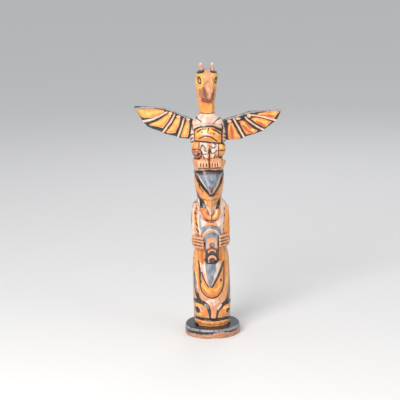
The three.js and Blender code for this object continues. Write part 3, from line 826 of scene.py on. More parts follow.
def paint_feet_and_legs(s):
    s.patch("wood", [(-22, 281), (-22, 298), (0, 300), (21, 298), (21, 281), (0, 280)])
    # Feet: pale toes with short dark slits between them, the outermost slits fainter.
    for x in (-16.4, -12, -7.4, 7, 11.2, 15.6):
        s.brush("pale", [(x, 291), (x, 285)], [1, 2.2, 1])
    for x in (-14.2, -9.7, -5, 4.7, 9.3, 13):
        s.brush("brown", [(x, 291.4), (x * 1.01, 288), (x * 1.02, 285)], [0.9, 1.7, 1.2], relief=-1.6)
    for x in (-17, 16.6):
        s.brush("brown", [(x, 290.6), (x * 1.02, 286)], [0.5, 0.9, 0.5], relief=-0.6)
    s.brush("brown", [(0, 312), (0.1, 302), (0, 295)], [1, 1.5, 1.2], relief=-1.2)
    s.dot("black", (-3, 297.4), (2.4, 2.2))
    s.dot("black", (3.2, 298), (2.2, 2))
    # Lower belly: pale, with feather marks.
    s.patch("pale", [(-14, 325), (-14, 312), (-9, 303), (-3, 299), (3, 299), (9, 302), (14, 310),
            (14, 322)])
    s.patch("wood", [(-3, 323), (-1.6, 310), (-3, 300), (4, 300), (4, 310), (5, 322)])
    marks = [
        ("blue", [(-14.4, 312.6), (-10.8, 320.4), (-5.4, 313.6)], 2.3),
        ("blue", [(-12.8, 309), (-10, 304.8), (-4, 305)], 1.8),
        ("brown", [(-9.4, 301.6), (-8, 297.6)], 1.3),
        ("blue", [(2.2, 318.6), (6.4, 314.8), (11.2, 317)], 2),
        ("blue", [(1.8, 309.4), (5, 306.4), (9.8, 307), (13.4, 311)], 2),
        ("brown", [(8.2, 298.4), (10.2, 303.6)], 1.5),
        ("brown", [(-8.6, 313), (-6, 309.6), (-3.4, 311)], 1.1),
        ("brown", [(8.6, 322), (11.6, 319.6)], 1.2),
    ]
    for colour, mark, width in marks:
        s.brush(colour, mark, [0.6 * width, width, 0.7 * width], relief=-0.4)
        s.glaze_and_shade(0.8, mark, width + 2.2)
    s.brush("brown", [(0.8, 320), (1.2, 313)], [1, 1.6], relief=-0.5)
    s.brush("brown", [(-1.6, 305.4), (1.1, 313.6), (4, 306)], [1.6, 3, 1.6], relief=-0.5)
    s.brush("brown", [(1, 310), (0.8, 303), (0.6, 295.6)], [2.4, 1.9, 1.4], relief=-0.7)
    # Thighs: on the left an oval eye in a ring, on the right a narrow orange shape with dark marks.
    s.patch("orange", [(-26, 326), (-25.6, 314), (-16, 314), (-16.4, 326)], curved=False)
    s.brush("brown", [(-16, 326), (-15.8, 317)], [1.3, 1.6], relief=-0.4)
    s.brush("black", [(-26.4, 327), (-25.8, 316)], [1.4, 1.8], relief=-0.4)
    s.dot("orange", (-18.8, 306), (15.4, 18))
    s.dot("wood", (-18.4, 305.4), (11, 13))
    s.dot("red", (-18.6, 310.6), (7.6, 4))
    s.dot("red", (-19.4, 299.6), (6.4, 3.4))
    s.dot("black", (-19.6, 305.4), (10, 6.4), 8, relief=0.4)
    s.dot("blue", (-21, 306), (4.4, 2.6), 8)
    s.dot("black", (-13.2, 307), (2.2, 3))
    s.dot("brown", (-18.8, 305.8), (16.4, 19), ring=2, relief=-0.7)
    s.patch("orange", [(16.8, 323), (16.4, 311), (22.8, 311), (23.6, 322)], curved=False)
    s.dot("yellow", (20, 317), (4, 9))
    s.dot("orange", (19.9, 304.8), (8.4, 12))
    s.brush("black", [(16, 309), (19.6, 311), (23.4, 308.4)], [1.4, 2, 1.6], relief=-0.5)
    s.dot("black", (20, 298.8), (6.6, 4.6), relief=0.2)
    s.brush("brown", [(15.6, 322), (15.4, 312), (15.6, 300)], [1.3, 1.7, 1.2], relief=-0.5)
    s.brush("brown", [(24, 322), (24.4, 311), (23.6, 300)], [1.3, 1.7, 1.2], relief=-0.5)


def paint_belly(s):
    s.patch("wood", [(-26, 362), (-24, 345), (0, 350), (24, 345), (25, 360), (4, 372), (-5, 372)])
    s.patch("pale", [(-19, 366), (-24.6, 358), (-25.4, 346), (-14, 351.4), (0, 353), (13, 351), (25, 345),
            (24.4, 356), (18.6, 365), (8, 369), (-7, 369)])
    s.blush(0.16, [(-16, 354), (0, 356), (12, 354)], [10, 16, 10])
    s.blush(0.16, [(-8, 366), (0, 362), (8, 366)], [8, 14, 8])
    s.patch("orange", [(-22.4, 344), (-23, 335), (-23.4, 328), (-8, 327.4), (5, 325.6), (20.4, 324),
            (20.8, 334), (20.4, 341), (12, 347), (0, 349.4), (-12, 348.4)])
    s.patch("yellow", [(-19, 341), (-20, 334), (-12, 336.6), (-3, 342), (6, 341), (13, 338), (18.4, 334),
            (17, 340), (8, 345.4), (-2, 347.4), (-12, 345.6)])
    s.patch("orange", [(-9.6, 338.4), (-3, 340.6), (6, 338.4), (11, 333), (4, 331), (-4, 331.6),
            (-12, 332.6)])
    s.blush(0.7, [(-8, 330), (-2, 330.4), (3, 330)], [3, 4.4, 3])
    s.brush("black", [(-24, 342.4), (-22, 344.6), (-17.6, 347.8), (-10, 350), (0, 350.8), (8, 349.6),
            (14, 346.8), (24, 341.4)], [2, 2.2, 2.4, 2.2, 2.4, 3.2, 3.8], relief=-0.6)
    s.brush("black", [(-24.2, 342), (-23.6, 333), (-24.2, 326.4)], [2.4, 2, 2.4], relief=-0.5)
    s.brush("black", [(21.8, 341), (21.6, 332), (22, 323.4)], [2.6, 2.4, 3], relief=-0.5)
    s.brush("black", [(-25, 327), (-16, 326.4), (-8, 326), (5, 324), (14, 322.6), (22.4, 322)],
            [2.6, 2.6, 2.4, 2.8], relief=-0.6)
    s.brush("black", [(-18.4, 341), (-14, 344.2), (-9, 346), (-4.6, 346)], [1.6, 2.6, 2.4, 1.4], relief=0.3)
    s.brush("black", [(5.6, 346), (12, 343), (16, 340), (19.2, 336.6)], [1.4, 2.6, 2.4, 1.4], relief=0.3)
    s.brush("pale", [(-16.6, 344.8), (-10.6, 347.4), (-5, 347.8)], [0.7, 1.1, 0.7])
    s.dot("brown", (-10.5, 341.4), (3.4, 2.8))
    s.dot("brown", (8.5, 338.5), (3.4, 3.2))
    s.brush("brown", [(0, 346.8), (-1.8, 342.4), (-2, 338.6)], [2.2, 1.5, 1.3], relief=0.3)
    s.brush("blue", [(-10.6, 338.2), (-6, 340), (-3, 340), (3, 339.4)], [1.2, 1.6, 0.9])
    s.brush("pale", [(-9, 337.8), (-3, 338.6), (6, 336.2)], [1.2, 1.9, 1.2])
    s.brush("black", [(-16.4, 330.6), (-10, 334), (-4, 335), (1, 334.5), (6, 332), (13.4, 325.8)],
            [1.3, 2.1, 2, 2.1, 1.4], relief=-0.6)
    collar = [(-19.4, 364.4), (-15, 360.4), (-10.6, 356.8)], [(8.4, 353.6), (12.6, 358), (18, 360.6),
            (23, 361)]
    for pts in collar:
        s.brush("brown", pts, [0.8, 1.5, 0.9], relief=-0.5)
        s.glaze_and_shade(0.5, pts, 4)
    s.glaze_and_shade(0.6, [(-20.6, 362), (-19.6, 358)], 4)
    s.glaze_and_shade(0.45, [(-22, 351), (-12, 354), (0, 354.6), (12, 353), (22, 350)], 5)
    s.brush("black", [(22.4, 352), (23.4, 346), (22.4, 341)], [1.6, 2.4, 2.4], relief=-0.3)
    s.brush("brown", [(-25.4, 352), (-25, 346)], [1.4, 1.8], relief=-0.3)
    for sgn in (-1, 1):
        s.patch("pale", flip(sgn, [(24.6, 342), (25, 318), (28.4, 318), (29, 342)]))
        for i in range(3):
            s.brush("brown", flip(sgn, [(25, 337 - 6 * i), (29, 333 - 6 * i)]), [1.6, 2.2], relief=-0.3)
    s.dot("blue", (-25.4, 344.4), (3, 5))
    s.patch("orange", [(-24, 325.6), (-24.4, 317.6), (-17, 316.8), (-16.6, 325)], curved=False)


def paint_bird_head(s):
    s.patch("orange", [(-13.4, 390), (-13, 371), (0, 370), (12.4, 371), (13.4, 390)])
    s.brush("yellow", [(5.4, 374), (6, 384)], [5, 3])
    s.brush("wood", [(-6, 372), (0, 373), (8, 372)], [1, 3.4, 1])
    s.blush(0.3, [(-8, 386), (0, 388), (8, 387)], [6, 9, 6])
    s.glaze_and_shade(0.3, [(-8, 388), (0, 389), (8, 388)], [4, 6, 4])
    s.brush("brown", [(-12, 371.4), (-4, 369.4), (4, 369.4), (12, 371.4)], [0.8, 1.2, 0.8], relief=-0.6)
    s.patch("brown", [(-11, 397), (-9, 389.6), (-3, 388.4), (4, 388.4), (9.6, 390), (11.8, 397), (0, 400)])
    s.patch("orange", [(-16.6, 412), (-15, 398), (-11, 392), (-10, 410)])
    s.patch("yellow", [(-17.6, 411), (-18.4, 424), (-16.6, 434), (-6, 434.6), (-4, 426), (-8.6, 411)])
    s.patch("yellow", [(17.4, 415), (18.4, 425), (17, 434), (5.8, 434.4), (5, 427), (10, 413)])
    s.patch("wood", [(-4, 436), (-5, 424), (-5, 412), (-2, 404), (2, 398), (7, 404), (7, 414), (6, 424),
            (5.6, 436)])
    # Beak: glazed dark at the sides, a light ridge down the middle.
    s.patch("wood", [(-13.6, 409.6), (-8, 412.4), (-4, 412), (-1, 405), (1.4, 396), (-2, 391.6),
            (-9, 391.4), (-13.4, 398)])
    s.blush(0.4, [(-11.6, 407), (-11, 399), (-8, 392.6)], [5, 8, 6])
    s.blush(0.55, [(-7, 394), (0, 392.4), (3, 394)], [6, 7, 4])
    s.glaze_and_shade(0.55, [(-11, 408), (-9.4, 400), (-6.6, 393)], [9, 11, 9])
    s.glaze_and_shade(0.85, [(-6, 412), (-4.6, 403), (-1, 394)], [8, 10.5, 7])
    s.glaze_and_shade(0.5, [(-8.4, 393), (-1, 392)], [6, 7])
    s.patch("orange", [(12.6, 410), (9, 411.6), (7.4, 405), (6, 396), (5, 392.6), (9, 391.6), (12.6, 398)])
    s.glaze_and_shade(0.9, [(9.8, 411), (9.6, 401), (7, 393.6)], [5, 9, 8])
    s.glaze_and_shade(0.5, [(8, 403), (6.4, 395)], [3, 4])
    s.brush("wood", [(1.2, 414), (3, 407), (4, 401), (4, 396)], [9, 7.6, 5.4, 2.4], relief=0.2)
    for x, z, w, h, tilt in ((-12.3, 424.4, 5.8, 12.8, 9), (15, 423.4, 5.2, 11.2, -9)):
        s.dot("black", (x, z), (w + 0.4, h + 0.6), tilt, relief=-0.3)
        s.dot("yellow", (x, z), (w - 3.2, h - 5.4), tilt, relief=0.5)
        s.glaze_and_shade(0.9, [(x - 0.4, z + 3.4), (x, z)], 3)
        s.dot("pale", (x + 0.1, z - 1.6), (1.9, 2.2))
    s.glaze_and_shade(0.45, [(-15.6, 432), (-15.8, 424), (-14, 414)], [4, 4.5, 4])
    s.glaze_and_shade(0.35, [(-9, 415), (-4, 420), (2, 424)], [4, 6, 5])
    s.patch("black", [(-16.6, 435), (-6, 435.8), (-4.4, 441.5), (-14, 442)])
    s.patch("black", [(16.8, 434.6), (8, 435.6), (6, 441.5), (14.4, 442)])


def paint_sides_and_back(s):
    """The sides carry on from the front. The back is plainer, as such poles are."""
    for sgn in (-1, 1):
        def side(pts):
            return from_angle(np.column_stack([sgn * pts[:, 0], pts[:, 1]]))

        patch, brush, dot = [partial(draw, place=side) for draw in (s.patch, s.brush, s.dot)]

        def band(colour, a, b, low, high, **k):
            patch(colour, [(a, low), (b, low), (b, high), (a, high)], curved=False, **k)

        band("orange", 150, 184, 16, 60)
        band("orange", 150, 184, 130, 222)
        band("orange", 150, 184, 300, 362)
        brush("black", [(84, 16), (86, 40), (96, 58), (97, 80), (88, 104), (86, 128)], [9, 7, 5, 5, 5, 4],
                relief=-0.4)
        brush("black", [(184, 62), (150, 62.5), (120, 61), (98, 58)], [3, 3, 4, 5], relief=-0.5)
        brush("black", [(128, 20), (130, 40), (126, 57)], 3, relief=-0.4)
        patch("black", [(98, 66), (124, 70), (128, 96), (112, 122), (96, 126), (104, 96)])
        dot("orange", (108, 92), (9, 26), relief=0.2)
        brush("brown", [(184, 128), (150, 128), (118, 129), (90, 130), (74, 129)], 1.6, relief=-0.6)
        brush("black", [(112, 130), (116, 160), (116, 200), (108, 226)], [4, 5, 5, 3], relief=-0.4)
        brush("brown", [(98, 140), (100, 164), (102, 190), (98, 214)], [1, 1.4, 1.4, 1], relief=-0.4)
        for i in range(6):
            brush("brown", [(84, 178 + 8 * i), (97, 172 + 8 * i)], [1.5, 0.9], relief=-0.3)
        for i in range(7):
            brush("black", [(146, 142 + 11 * i), (160, 136 + 11 * i), (184, 134 + 11 * i)], [1, 2, 2.2],
                    relief=-0.3)
        brush("black", [(184, 226), (140, 226.4), (100, 227), (70, 229)], [3.4, 3.4, 3, 1.6], relief=-0.8)
        # The beaked head's eye and cheek.
        patch("orange", [(80, 234), (112, 236), (118, 258), (84, 262), (70, 250)])
        patch("black", [(78, 278), (84, 262), (110, 262), (118, 274), (104, 281)])
        dot("pale", (96, 271), (14, 8))
        dot("black", (95, 271), (6.5, 5.5), relief=0.4)
        brush("black", [(126, 230), (130, 256), (128, 280)], [3, 4, 3], relief=-0.4)
        brush("brown", [(184, 284), (150, 284), (110, 283), (80, 281)], 1.8, relief=-0.6)
        brush("black", [(84, 299), (110, 300), (150, 299), (184, 299)], [1.6, 2.4, 2.4], relief=-0.6)
        patch("orange", [(92, 304), (118, 304), (122, 326), (96, 328)])
        brush("black", [(90, 302), (93, 314), (90, 326)], [2, 3, 2], relief=-0.4)
        brush("black", [(74, 356), (82, 346), (92, 326)], [2, 3.4, 4], relief=-0.3)
        brush("black", [(124, 303), (128, 320), (126, 352)], [2.4, 3.6, 2.4], relief=-0.4)
        for i in range(4):
            brush("black", [(150, 314 + 11 * i), (164, 308 + 11 * i), (184, 306 + 11 * i)], [1, 2, 2.2],
                    relief=-0.3)
        brush("brown", [(70, 369), (110, 369.6), (150, 369.4), (184, 369.4)], [1, 1.2, 1.2], relief=-0.5)
        band("orange", 88, 184, 371.5, 400)
        patch("orange", [(66, 398), (70, 412), (94, 420), (110, 414), (112, 399)])
        patch("black", [(98, 404), (112, 402), (150, 404), (184, 404), (184, 442), (120, 442), (104, 430)])
        patch("black", [(60, 435.6), (100, 434.6), (130, 434), (130, 442), (60, 442)])


def wobbled(a, b, p, seed):
    """Skin coordinates, moved a little as a hand-held brush moves."""
    for i, (amount, length) in enumerate(WOBBLE):
        a = a + amount * noise3(p, length, seed + i)
        b = b + amount * noise3(p, length, seed + 2 + i)
    return a, b


# ---------------------------------------------------------------- wings, horns and base

WING = {"root_x": 22.0, "y": 2.0, "root_thickness": 9.0, "tip_thickness": 5.0}
# Each wing: its root's height, its pitch, its elbow, its tip and its feathered trailing edge.
WINGS = {
    "left": (359.8, 14.4, (48.5, 7.7), (99.5, -0.8), [
        (15, -35.2), (19.5, -36.6), (23, -34), (39, -34.3), (44.7, -33.6), (49, -31.9), (62.5, -30.5),
        (71, -28.8), (76, -25.3), (78.6, -23.8)]),
    "right": (356.8, 7.4, (49.5, 6.9), (100, 1), [
        (26, -36), (32.3, -35.6), (36, -33.6), (50.5, -31.8), (58.5, -30.2), (66, -28.8), (69.5, -26.3),
        (78, -21.6), (83, -18.8), (89.3, -16.6)]),
}


class Wing:
    """One wing board. It is worked out on the right and mirrored for the left."""

    def __init__(self, side):
        self.sign = 1 if side == "right" else -1
        self.root_z, pitch, elbow, tip, trailing = WINGS[side]
        self.pitch = math.radians(pitch)
        top = [(0, -33.5), (0, -0.8), (elbow[0] - 7, elbow[1] - 1.2), (elbow[0] - 3, elbow[1] - 0.4),
               (elbow[0], elbow[1] - 0.1), (elbow[0] + 6, elbow[1] - 0.6), (tip[0] - 3, tip[1] + 0.6),
               (tip[0] - 1, tip[1] - 0.2), (tip[0] - 0.6, tip[1] - 2)]
        self.outline = np.array([*top, *trailing[::-1]], float)
        self.far = tip[0] + 5
        xs, zs = self.outline[:, 0], self.outline[:, 1]
        c, s = math.cos(self.pitch), math.sin(self.pitch)
        world = np.column_stack([WING["root_x"] + c * xs - s * zs, self.root_z + s * xs + c * zs])
        low, high = world.min(0), world.max(0)
        y0 = WING["y"] - WING["root_thickness"] / 2
        self.low, self.high = np.array([low[0], y0, low[1]]), np.array([high[0], -y0 + 4, high[1]])
        if self.sign < 0:
            self.low[0], self.high[0] = -high[0], -low[0]

    def distance(self, p):
        x, z = self.sign * p[:, 0] - WING["root_x"], p[:, 2] - self.root_z
        c, s = math.cos(self.pitch), math.sin(self.pitch)
        u, w = c * x + s * z, c * z - s * x
        # The outline is worked out only in a box round the board.
        near = (np.abs(u - 50) < 62) & (np.abs(w + 14) < 36)
        d = np.full(len(p), FAR_OFF)
        d[near] = polygon_distance(u[near], w[near], self.outline)
        back = WING["y"] + WING["root_thickness"] / 2
        thin = (u + 5) / (self.far + 5) * (WING["root_thickness"] - WING["tip_thickness"])
        front = back - WING["root_thickness"] + np.clip(thin, 0, None)
        return meet(meet(d, front - p[:, 1], 2.2), p[:, 1] - back, 1.4)


class Horn:
    """A whittled peg with faint facets."""

    def __init__(self, foot, tip, radius):
        self.foot, self.tip, self.radius = np.array(foot, float), np.array(tip, float), radius
        self.low = np.minimum(self.foot, self.tip) - radius
        self.high = np.maximum(self.foot, self.tip) + radius

    def distance(self, p):
        axis = self.tip - self.foot
        length = np.linalg.norm(axis)
        axis = axis / length
        t = (p - self.foot) @ axis
        off = p - self.foot - t[:, None] * axis
        turn = np.arctan2(off[:, 1], off[:, 0])
        facets = 0.16 * np.cos(9 * turn + 0.12 * t)
        r = np.linalg.norm(off, axis=1) - self.radius + 0.12 + facets
        return meet(meet(r, t - length + 0.1, 1.4), -t, 0.6)


BASE_RADIUS = 46.0
BASE_CORNERS = 1.2  # mm: how much further the hand-sawn round reaches on its diagonals
BASE_BEVEL = 2.6


def base_field(p):
    angle = np.arctan2(p[:, 1], p[:, 0])
    reach = BASE_RADIUS + BASE_CORNERS * (1 - np.cos(4 * angle)) / 2 - 0.25
    r = np.hypot(p[:, 0], p[:, 1]) - reach
    r += 0.22 * noise3(p, (9, 9, 60), 41) + 0.12 * noise3(p, (3, 3, 1.3), 42)
    top = p[:, 2] - FOOT + 0.12 * (1 + noise3(p, 11, 43))
    slope = (r + p[:, 2] - FOOT + BASE_BEVEL) * 0.7071
    return meet(meet(meet(r, top, 1.2), slope, 1.0), -p[:, 2], 0.8)


wings = {side: Wing(side) for side in WINGS}
horns = {"left": Horn((-6.6, 0, 433), (-8.9, 0, 451), 3.1),
         "right": Horn((9.2, -6, 430), (9.2, -6, 451.5), 2.6)}
FIGURES = figures()
SEATS = [*wings.values(), *horns.values()]


def close_to(part, p, margin):
    """The points in or near a part's box."""
    return np.nonzero(((p > part.low - margin) & (p < part.high + margin)).all(axis=1))[0]


def pole_field(p):
    d = billet(p)
    for part in FIGURES:
        near = close_to(part, p, 3 + part.blend)
        if near.size:
            d[near] = join(d[near], part.distance(p[near]), part.blend)
    shell = np.nonzero(np.abs(d) < SKIN_DEPTH)[0]
    q = p[shell]
    d[shell] += 0.30 * noise3(q, (6, 6, 11), 5) + 0.12 * noise3(q, (2.6, 2.6, 5), 6) + 0.1
    for part in SEATS:
        near = close_to(part, p, 2)
        if near.size:
            d[near] = np.maximum(d[near], SEAT_GAP - part.distance(p[near]))
    return np.maximum(d, FOOT - p[:, 2])


# Each wing's front: panels, each with a bare spot or none, quills with their widths, and a blue-grey edge
# band that is a painted highlight along the board's rim.
WING_PAINT = {
    "left": {
        "panels": [
            ([(-114, 377.6), (-105, 378), (-90, 377.5), (-75, 376), (-71, 375), (-73, 372.5), (-80, 369),
              (-88, 366), (-95, 365), (-104, 365), (-109, 368.5)], None),
            ([(-94, 353), (-80, 358.5), (-72, 363), (-66, 368), (-63, 369), (-60, 366.5), (-61, 364),
              (-66, 357), (-71, 350), (-74, 347.5), (-80, 349), (-88, 351)], (-60.5, 370.5, 6, 5)),
            ([(-67, 340), (-60, 348), (-55, 356), (-52, 361), (-47, 362), (-45, 360), (-47, 353), (-50, 346),
              (-53, 340), (-60, 338.4)], (-47.5, 364.4, 7, 4)),
            ([(-43, 333), (-40, 342), (-36, 353), (-34.5, 356.5), (-31, 356.5), (-30.5, 350), (-31, 340),
              (-33, 333), (-38, 331.6)], (-31.8, 359.6, 6, 3)),
        ],
        "quills": [
            ([(-105.5, 358.3), (-98, 359.6), (-90, 361.5), (-80, 365.5), (-70, 370.5), (-66, 372.5)],
             [4.2, 4, 3.2, 2.2]),
            ([(-74.5, 338), (-68, 346), (-60, 357), (-53.5, 368.5)], [3, 2.7, 2]),
            ([(-50, 329.5), (-45, 341), (-41, 353), (-38.5, 361)], [3, 2.7, 1.8]),
        ],
        "edge": [(-106, 354), (-121, 372), (-119, 379), (-98, 380.4), (-68, 378.4), (-30, 361)],
    },
    "right": {
        "panels": [
            ([(83, 365), (95, 366.5), (105, 367.5), (116, 367), (113, 363), (108, 357.6), (105, 357.4),
              (95, 360), (86, 362.4)], None),
            ([(72, 357.5), (78, 358.5), (85, 357), (95, 354), (103, 351), (101, 349), (96, 344.5),
              (92, 343.5), (88, 346), (80, 351), (74, 355)], (67.5, 362.4, 7, 6)),
            ([(52.5, 353), (57, 354), (61, 352), (66, 347), (73, 341), (80, 338), (79, 336), (74, 334),
              (68, 333), (63, 332.5), (60, 337), (56, 345), (54, 350)], (49.5, 358, 8, 4)),
            ([(34, 347), (38, 350), (41, 350), (43, 345), (47, 336), (52, 328), (50, 326), (42, 325.5),
              (34, 326.5)], (35.5, 354, 7, 5)),
        ],
        "quills": [
            ([(72, 363), (78, 362.5), (90, 359.5), (100, 356.5), (113, 352.5)], [2, 2.6, 3.2, 3.6]),
            ([(61.5, 360), (66, 355), (74, 349), (82, 343), (91.5, 338)], [2, 3, 3, 3.4]),
            ([(42.5, 358), (47, 350), (52, 340), (59, 326.4)], [1.8, 2.6, 3]),
        ],
        "edge": [(112, 352), (121, 364), (119, 369), (98, 369.6), (72, 368), (30, 357)],
    },
}
# The red on the right wing's panels.
WING_BLUSH = [
    ([(38, 347), (39, 337), (40, 328)], [4, 8, 8]),
    ([(58, 346), (64, 339), (72, 334)], 5.4),
    ([(62, 350), (70, 341)], 4),
    ([(80, 353), (88, 348), (93, 344.6)], [3, 5, 4]),
    ([(88, 362), (100, 361), (110, 359)], [3, 4.4, 3]),
]


def grown(pts, by):
    """An outline whose points are moved out from its middle by so many mm."""
    middle = np.mean(pts, axis=0)
    outward = np.array(pts, float) - middle
    return [tuple(middle + v * (1 + by / np.linalg.norm(v))) for v in outward]


def paint_wing(s, side):
    s.patch("black", [(-140, 300), (140, 300), (140, 400), (-140, 400)], curved=False)
    # A blue-grey painted highlight along the rim of the board.
    s.brush("blue", WING_PAINT[side]["edge"], [1.2, 2.6, 2.2, 2.8, 2.6, 1.6], relief=0.1)
    for pts, spot in WING_PAINT[side]["panels"]:
        s.patch("orange", grown(pts, 0.7), relief=-0.55)
        s.patch("yellow", grown(pts, -3.4))
        if spot:
            s.dot("wood", spot[:2], spot[2:], relief=-0.3)
        middle = np.mean(pts, axis=0)
        s.glaze_and_shade(0.16, [middle + (-4, 3), middle + (3, -2)], [5, 7])
    for pts, width in WING_PAINT[side]["quills"]:
        width = [0.6 * w for w in width]
        s.brush("orange", pts, [w + 1.2 for w in width], relief=-0.5)
        s.brush("pale", pts, width)
    if side == "right":
        for pts, width in WING_BLUSH:
            s.blush(1.3, pts, np.multiply(width, 1.25))
            s.glaze_and_shade(0.4, pts, width)
        s.brush("yellow", [(62, 349), (66.4, 344.4), (72, 340)], [1.2, 2.4, 1.4])
        s.dot("yellow", (95.4, 348.4), (6, 3), -24)


def paint_wing_back(s, wing):
    """The back of a wing: black edge, and one stained field with three dark feather lines."""
    sign = wing.sign
    c, t = math.cos(wing.pitch), math.sin(wing.pitch)

    def place(pts):
        x, z = pts[:, 0], pts[:, 1]
        return np.column_stack([sign * (WING["root_x"] + c * x - t * z), wing.root_z + t * x + c * z])

    s.patch("black", [(-30, -60), (140, -60), (140, 40), (-30, 40)], curved=False, place=place)
    s.patch("orange", [(6, -5), (46, 1.5), (90, -5), (76, -20), (60, -26), (30, -30), (8, -29)], place=place)
    lines = [
        [(24, -6), (30, -18), (32, -34)],
        [(40, -3), (54, -16), (62, -30)],
        [(58, -3), (74, -12), (86, -18)],
    ]
    for pts in lines:
        s.brush("black", pts, [2, 3, 3], relief=-0.5, place=place)


# ---------------------------------------------------------------- materials

def linear(rgb):
    """A screen colour, each part from 11 to 255, as the linear colour that the shader wants."""
    return (*[((c / 255 + 0.055) / 1.055) ** 2.4 for c in rgb], 1)


class Material:
    """Shader nodes, made one call at a time."""

    def __init__(self, name):
        self.material = bpy.data.materials.new(name)
        self.material.use_nodes = True
        self.tree = self.material.node_tree
        self.shader = self.tree.nodes["Principled BSDF"]

    def put(self, socket, value):
        if isinstance(value, bpy.types.NodeSocket):
            self.tree.links.new(value, socket)
        else:
            socket.default_value = value

    def node(self, kind, out=0, inputs=None, **settings):
        n = self.tree.nodes.new("ShaderNode" + kind)
        for key, value in settings.items():
            setattr(n, key, value)
        for key, value in (inputs or {}).items():
            self.put(n.inputs[key], value)
        return n.outputs[out]

    def math(self, operation, a, b):
        return self.node("Math", inputs={0: a, 1: b}, operation=operation)

    def plus(self, a, b):
        return self.math("ADD", a, b)

    def minus(self, a, b):
        return self.math("SUBTRACT", a, b)

    def times(self, a, b):
        return self.math("MULTIPLY", a, b)

    def mix(self, amount, a, b, blend="MIX"):
        return self.node("Mix", out=2, inputs={0: amount, 6: a, 7: b}, data_type="RGBA",
                         blend_type=blend)

    def layer(self, name):
        """One of the numbers kept on each vertex of the mesh."""
        return self.node("Attribute", out=2, attribute_name=name)

    def ramp(self, value, low, high, to_low=0.0, to_high=1.0):
        return self.node("MapRange", inputs={0: value, 1: low, 2: high, 3: to_low, 4: to_high},
                         interpolation_type="SMOOTHSTEP")

    def noise(self, scale, detail=3.0, stretch=(1, 1, 1), roughness=0.5):
        """Noise in mm: `scale` is the size of its lumps, stretched along each axis."""
        place = self.node("TexCoord", out=3)
        size = [1 / (scale * MM * k) for k in stretch]
        place = self.node("Mapping", inputs={0: place, 3: size})
        return self.node("TexNoise", inputs={0: place, 2: 1.0, 3: detail, 4: roughness})

    def finish(self, colour, roughness, bump=None, strength=0.4, depth=0.3, coat=0.0, coat_roughness=0.2):
        """Joins the finish to the shader. `depth` is the height of the bump, in mm."""
        values = {"Base Color": colour, "Roughness": roughness, "Coat Weight": coat,
                  "Coat Roughness": coat_roughness}
        for key, value in values.items():
            self.put(self.shader.inputs[key], value)
        if bump is not None:
            normal = self.node("Bump", inputs={"Height": bump, "Strength": strength, "Distance": depth * MM})
            self.put(self.shader.inputs["Normal"], normal)
        return self.material


def painted_wood(name, grain=(1, 1, 9), light=(226, 170, 122), dark=(194, 130, 84)):
    """Stained softwood under seven paints, each laid where its distance on the mesh is negative."""
    m = Material(name)
    fibres = m.noise(1.5, 4, grain, 0.6)
    broad = m.noise(14, 2, (1, 1, 2.4))
    fine = m.noise(0.7, 2)
    hollow, shade, blush = [m.layer(name) for name in ("hollow", "shade", "blush")]
    colour = m.mix(m.ramp(fibres, 0.38, 0.66), linear(dark), linear(light))
    colour = m.mix(m.ramp(broad, 0.46, 0.68, 0, 0.45), colour, linear((226, 156, 128)))
    rough = m.ramp(fibres, 0.3, 0.7, 0.42, 0.5)
    height = m.times(fibres, 0.35)
    edge_shift = m.times(m.minus(fine, 0.5), 0.5)
    rubbed = m.times(m.ramp(hollow, -0.16, -0.5), m.ramp(m.noise(2.4, 4), 0.42, 0.62))
    kept = m.minus(1.0, m.times(rubbed, 0.75))
    for paint, (first, second, paint_rough, wear) in PAINTS.items():
        distance = m.layer(paint)
        cover = m.ramp(m.plus(distance, edge_shift), -0.28, 0.16, 1, 0)
        thin = m.ramp(m.noise(3.2, 4, (1, 1, 3)), 0.5, 0.78, 1, 1 - wear)
        cover = m.times(cover, thin)
        if paint not in DARK_PAINTS:
            cover = m.times(cover, kept)
        own = m.mix(m.ramp(m.noise(7, 3, (1, 1, 2)), 0.36, 0.66), linear(first), linear(second))
        colour = m.mix(cover, colour, own)
        rough = m.node("Mix", inputs={0: cover, 2: rough, 3: paint_rough})
        if paint in ("pale", "blue", "black"):
            height = m.plus(height, m.times(cover, 0.3))
    colour = m.mix(m.math("MINIMUM", blush, 0.85), colour, linear((216, 88, 54)))
    # The hollows get painted shade and some gathered stain; places given dark glaze and painted shade are
    # darker and redder.
    hollow_shade_and_stain = m.times(m.ramp(hollow, 0.05, 0.58), m.ramp(m.noise(4, 3), 0.3, 0.6, 0.8, 1.0))
    colour = m.mix(hollow_shade_and_stain, colour, linear((104, 56, 38)), "MULTIPLY")
    colour = m.mix(m.math("MINIMUM", shade, 1.0), colour, linear((128, 66, 60)), "MULTIPLY")
    height = m.plus(height, m.times(broad, 0.5))
    return m.finish(colour, rough, height, 0.5, 0.35, coat=0.5, coat_roughness=0.26)


def peg_wood():
    m = Material("bare peg wood")
    fibres = m.noise(0.8, 4, (1, 1, 8), 0.6)
    stain = m.noise(5, 2)
    colour = m.mix(m.ramp(fibres, 0.35, 0.65), linear((176, 118, 92)), linear((222, 178, 150)))
    top = m.ramp(m.node("SeparateXYZ", out=2, inputs={0: m.node("TexCoord", out=3)}), 0.4465, 0.4505)
    colour = m.mix(m.times(top, 0.6), colour, linear((236, 214, 200)))
    colour = m.mix(m.ramp(stain, 0.5, 0.75, 0, 0.4), colour, linear((196, 112, 86)))
    rough = m.ramp(fibres, 0.3, 0.7, 0.5, 0.62)
    return m.finish(colour, rough, fibres, 0.4, 0.2, coat=0.2, coat_roughness=0.3)


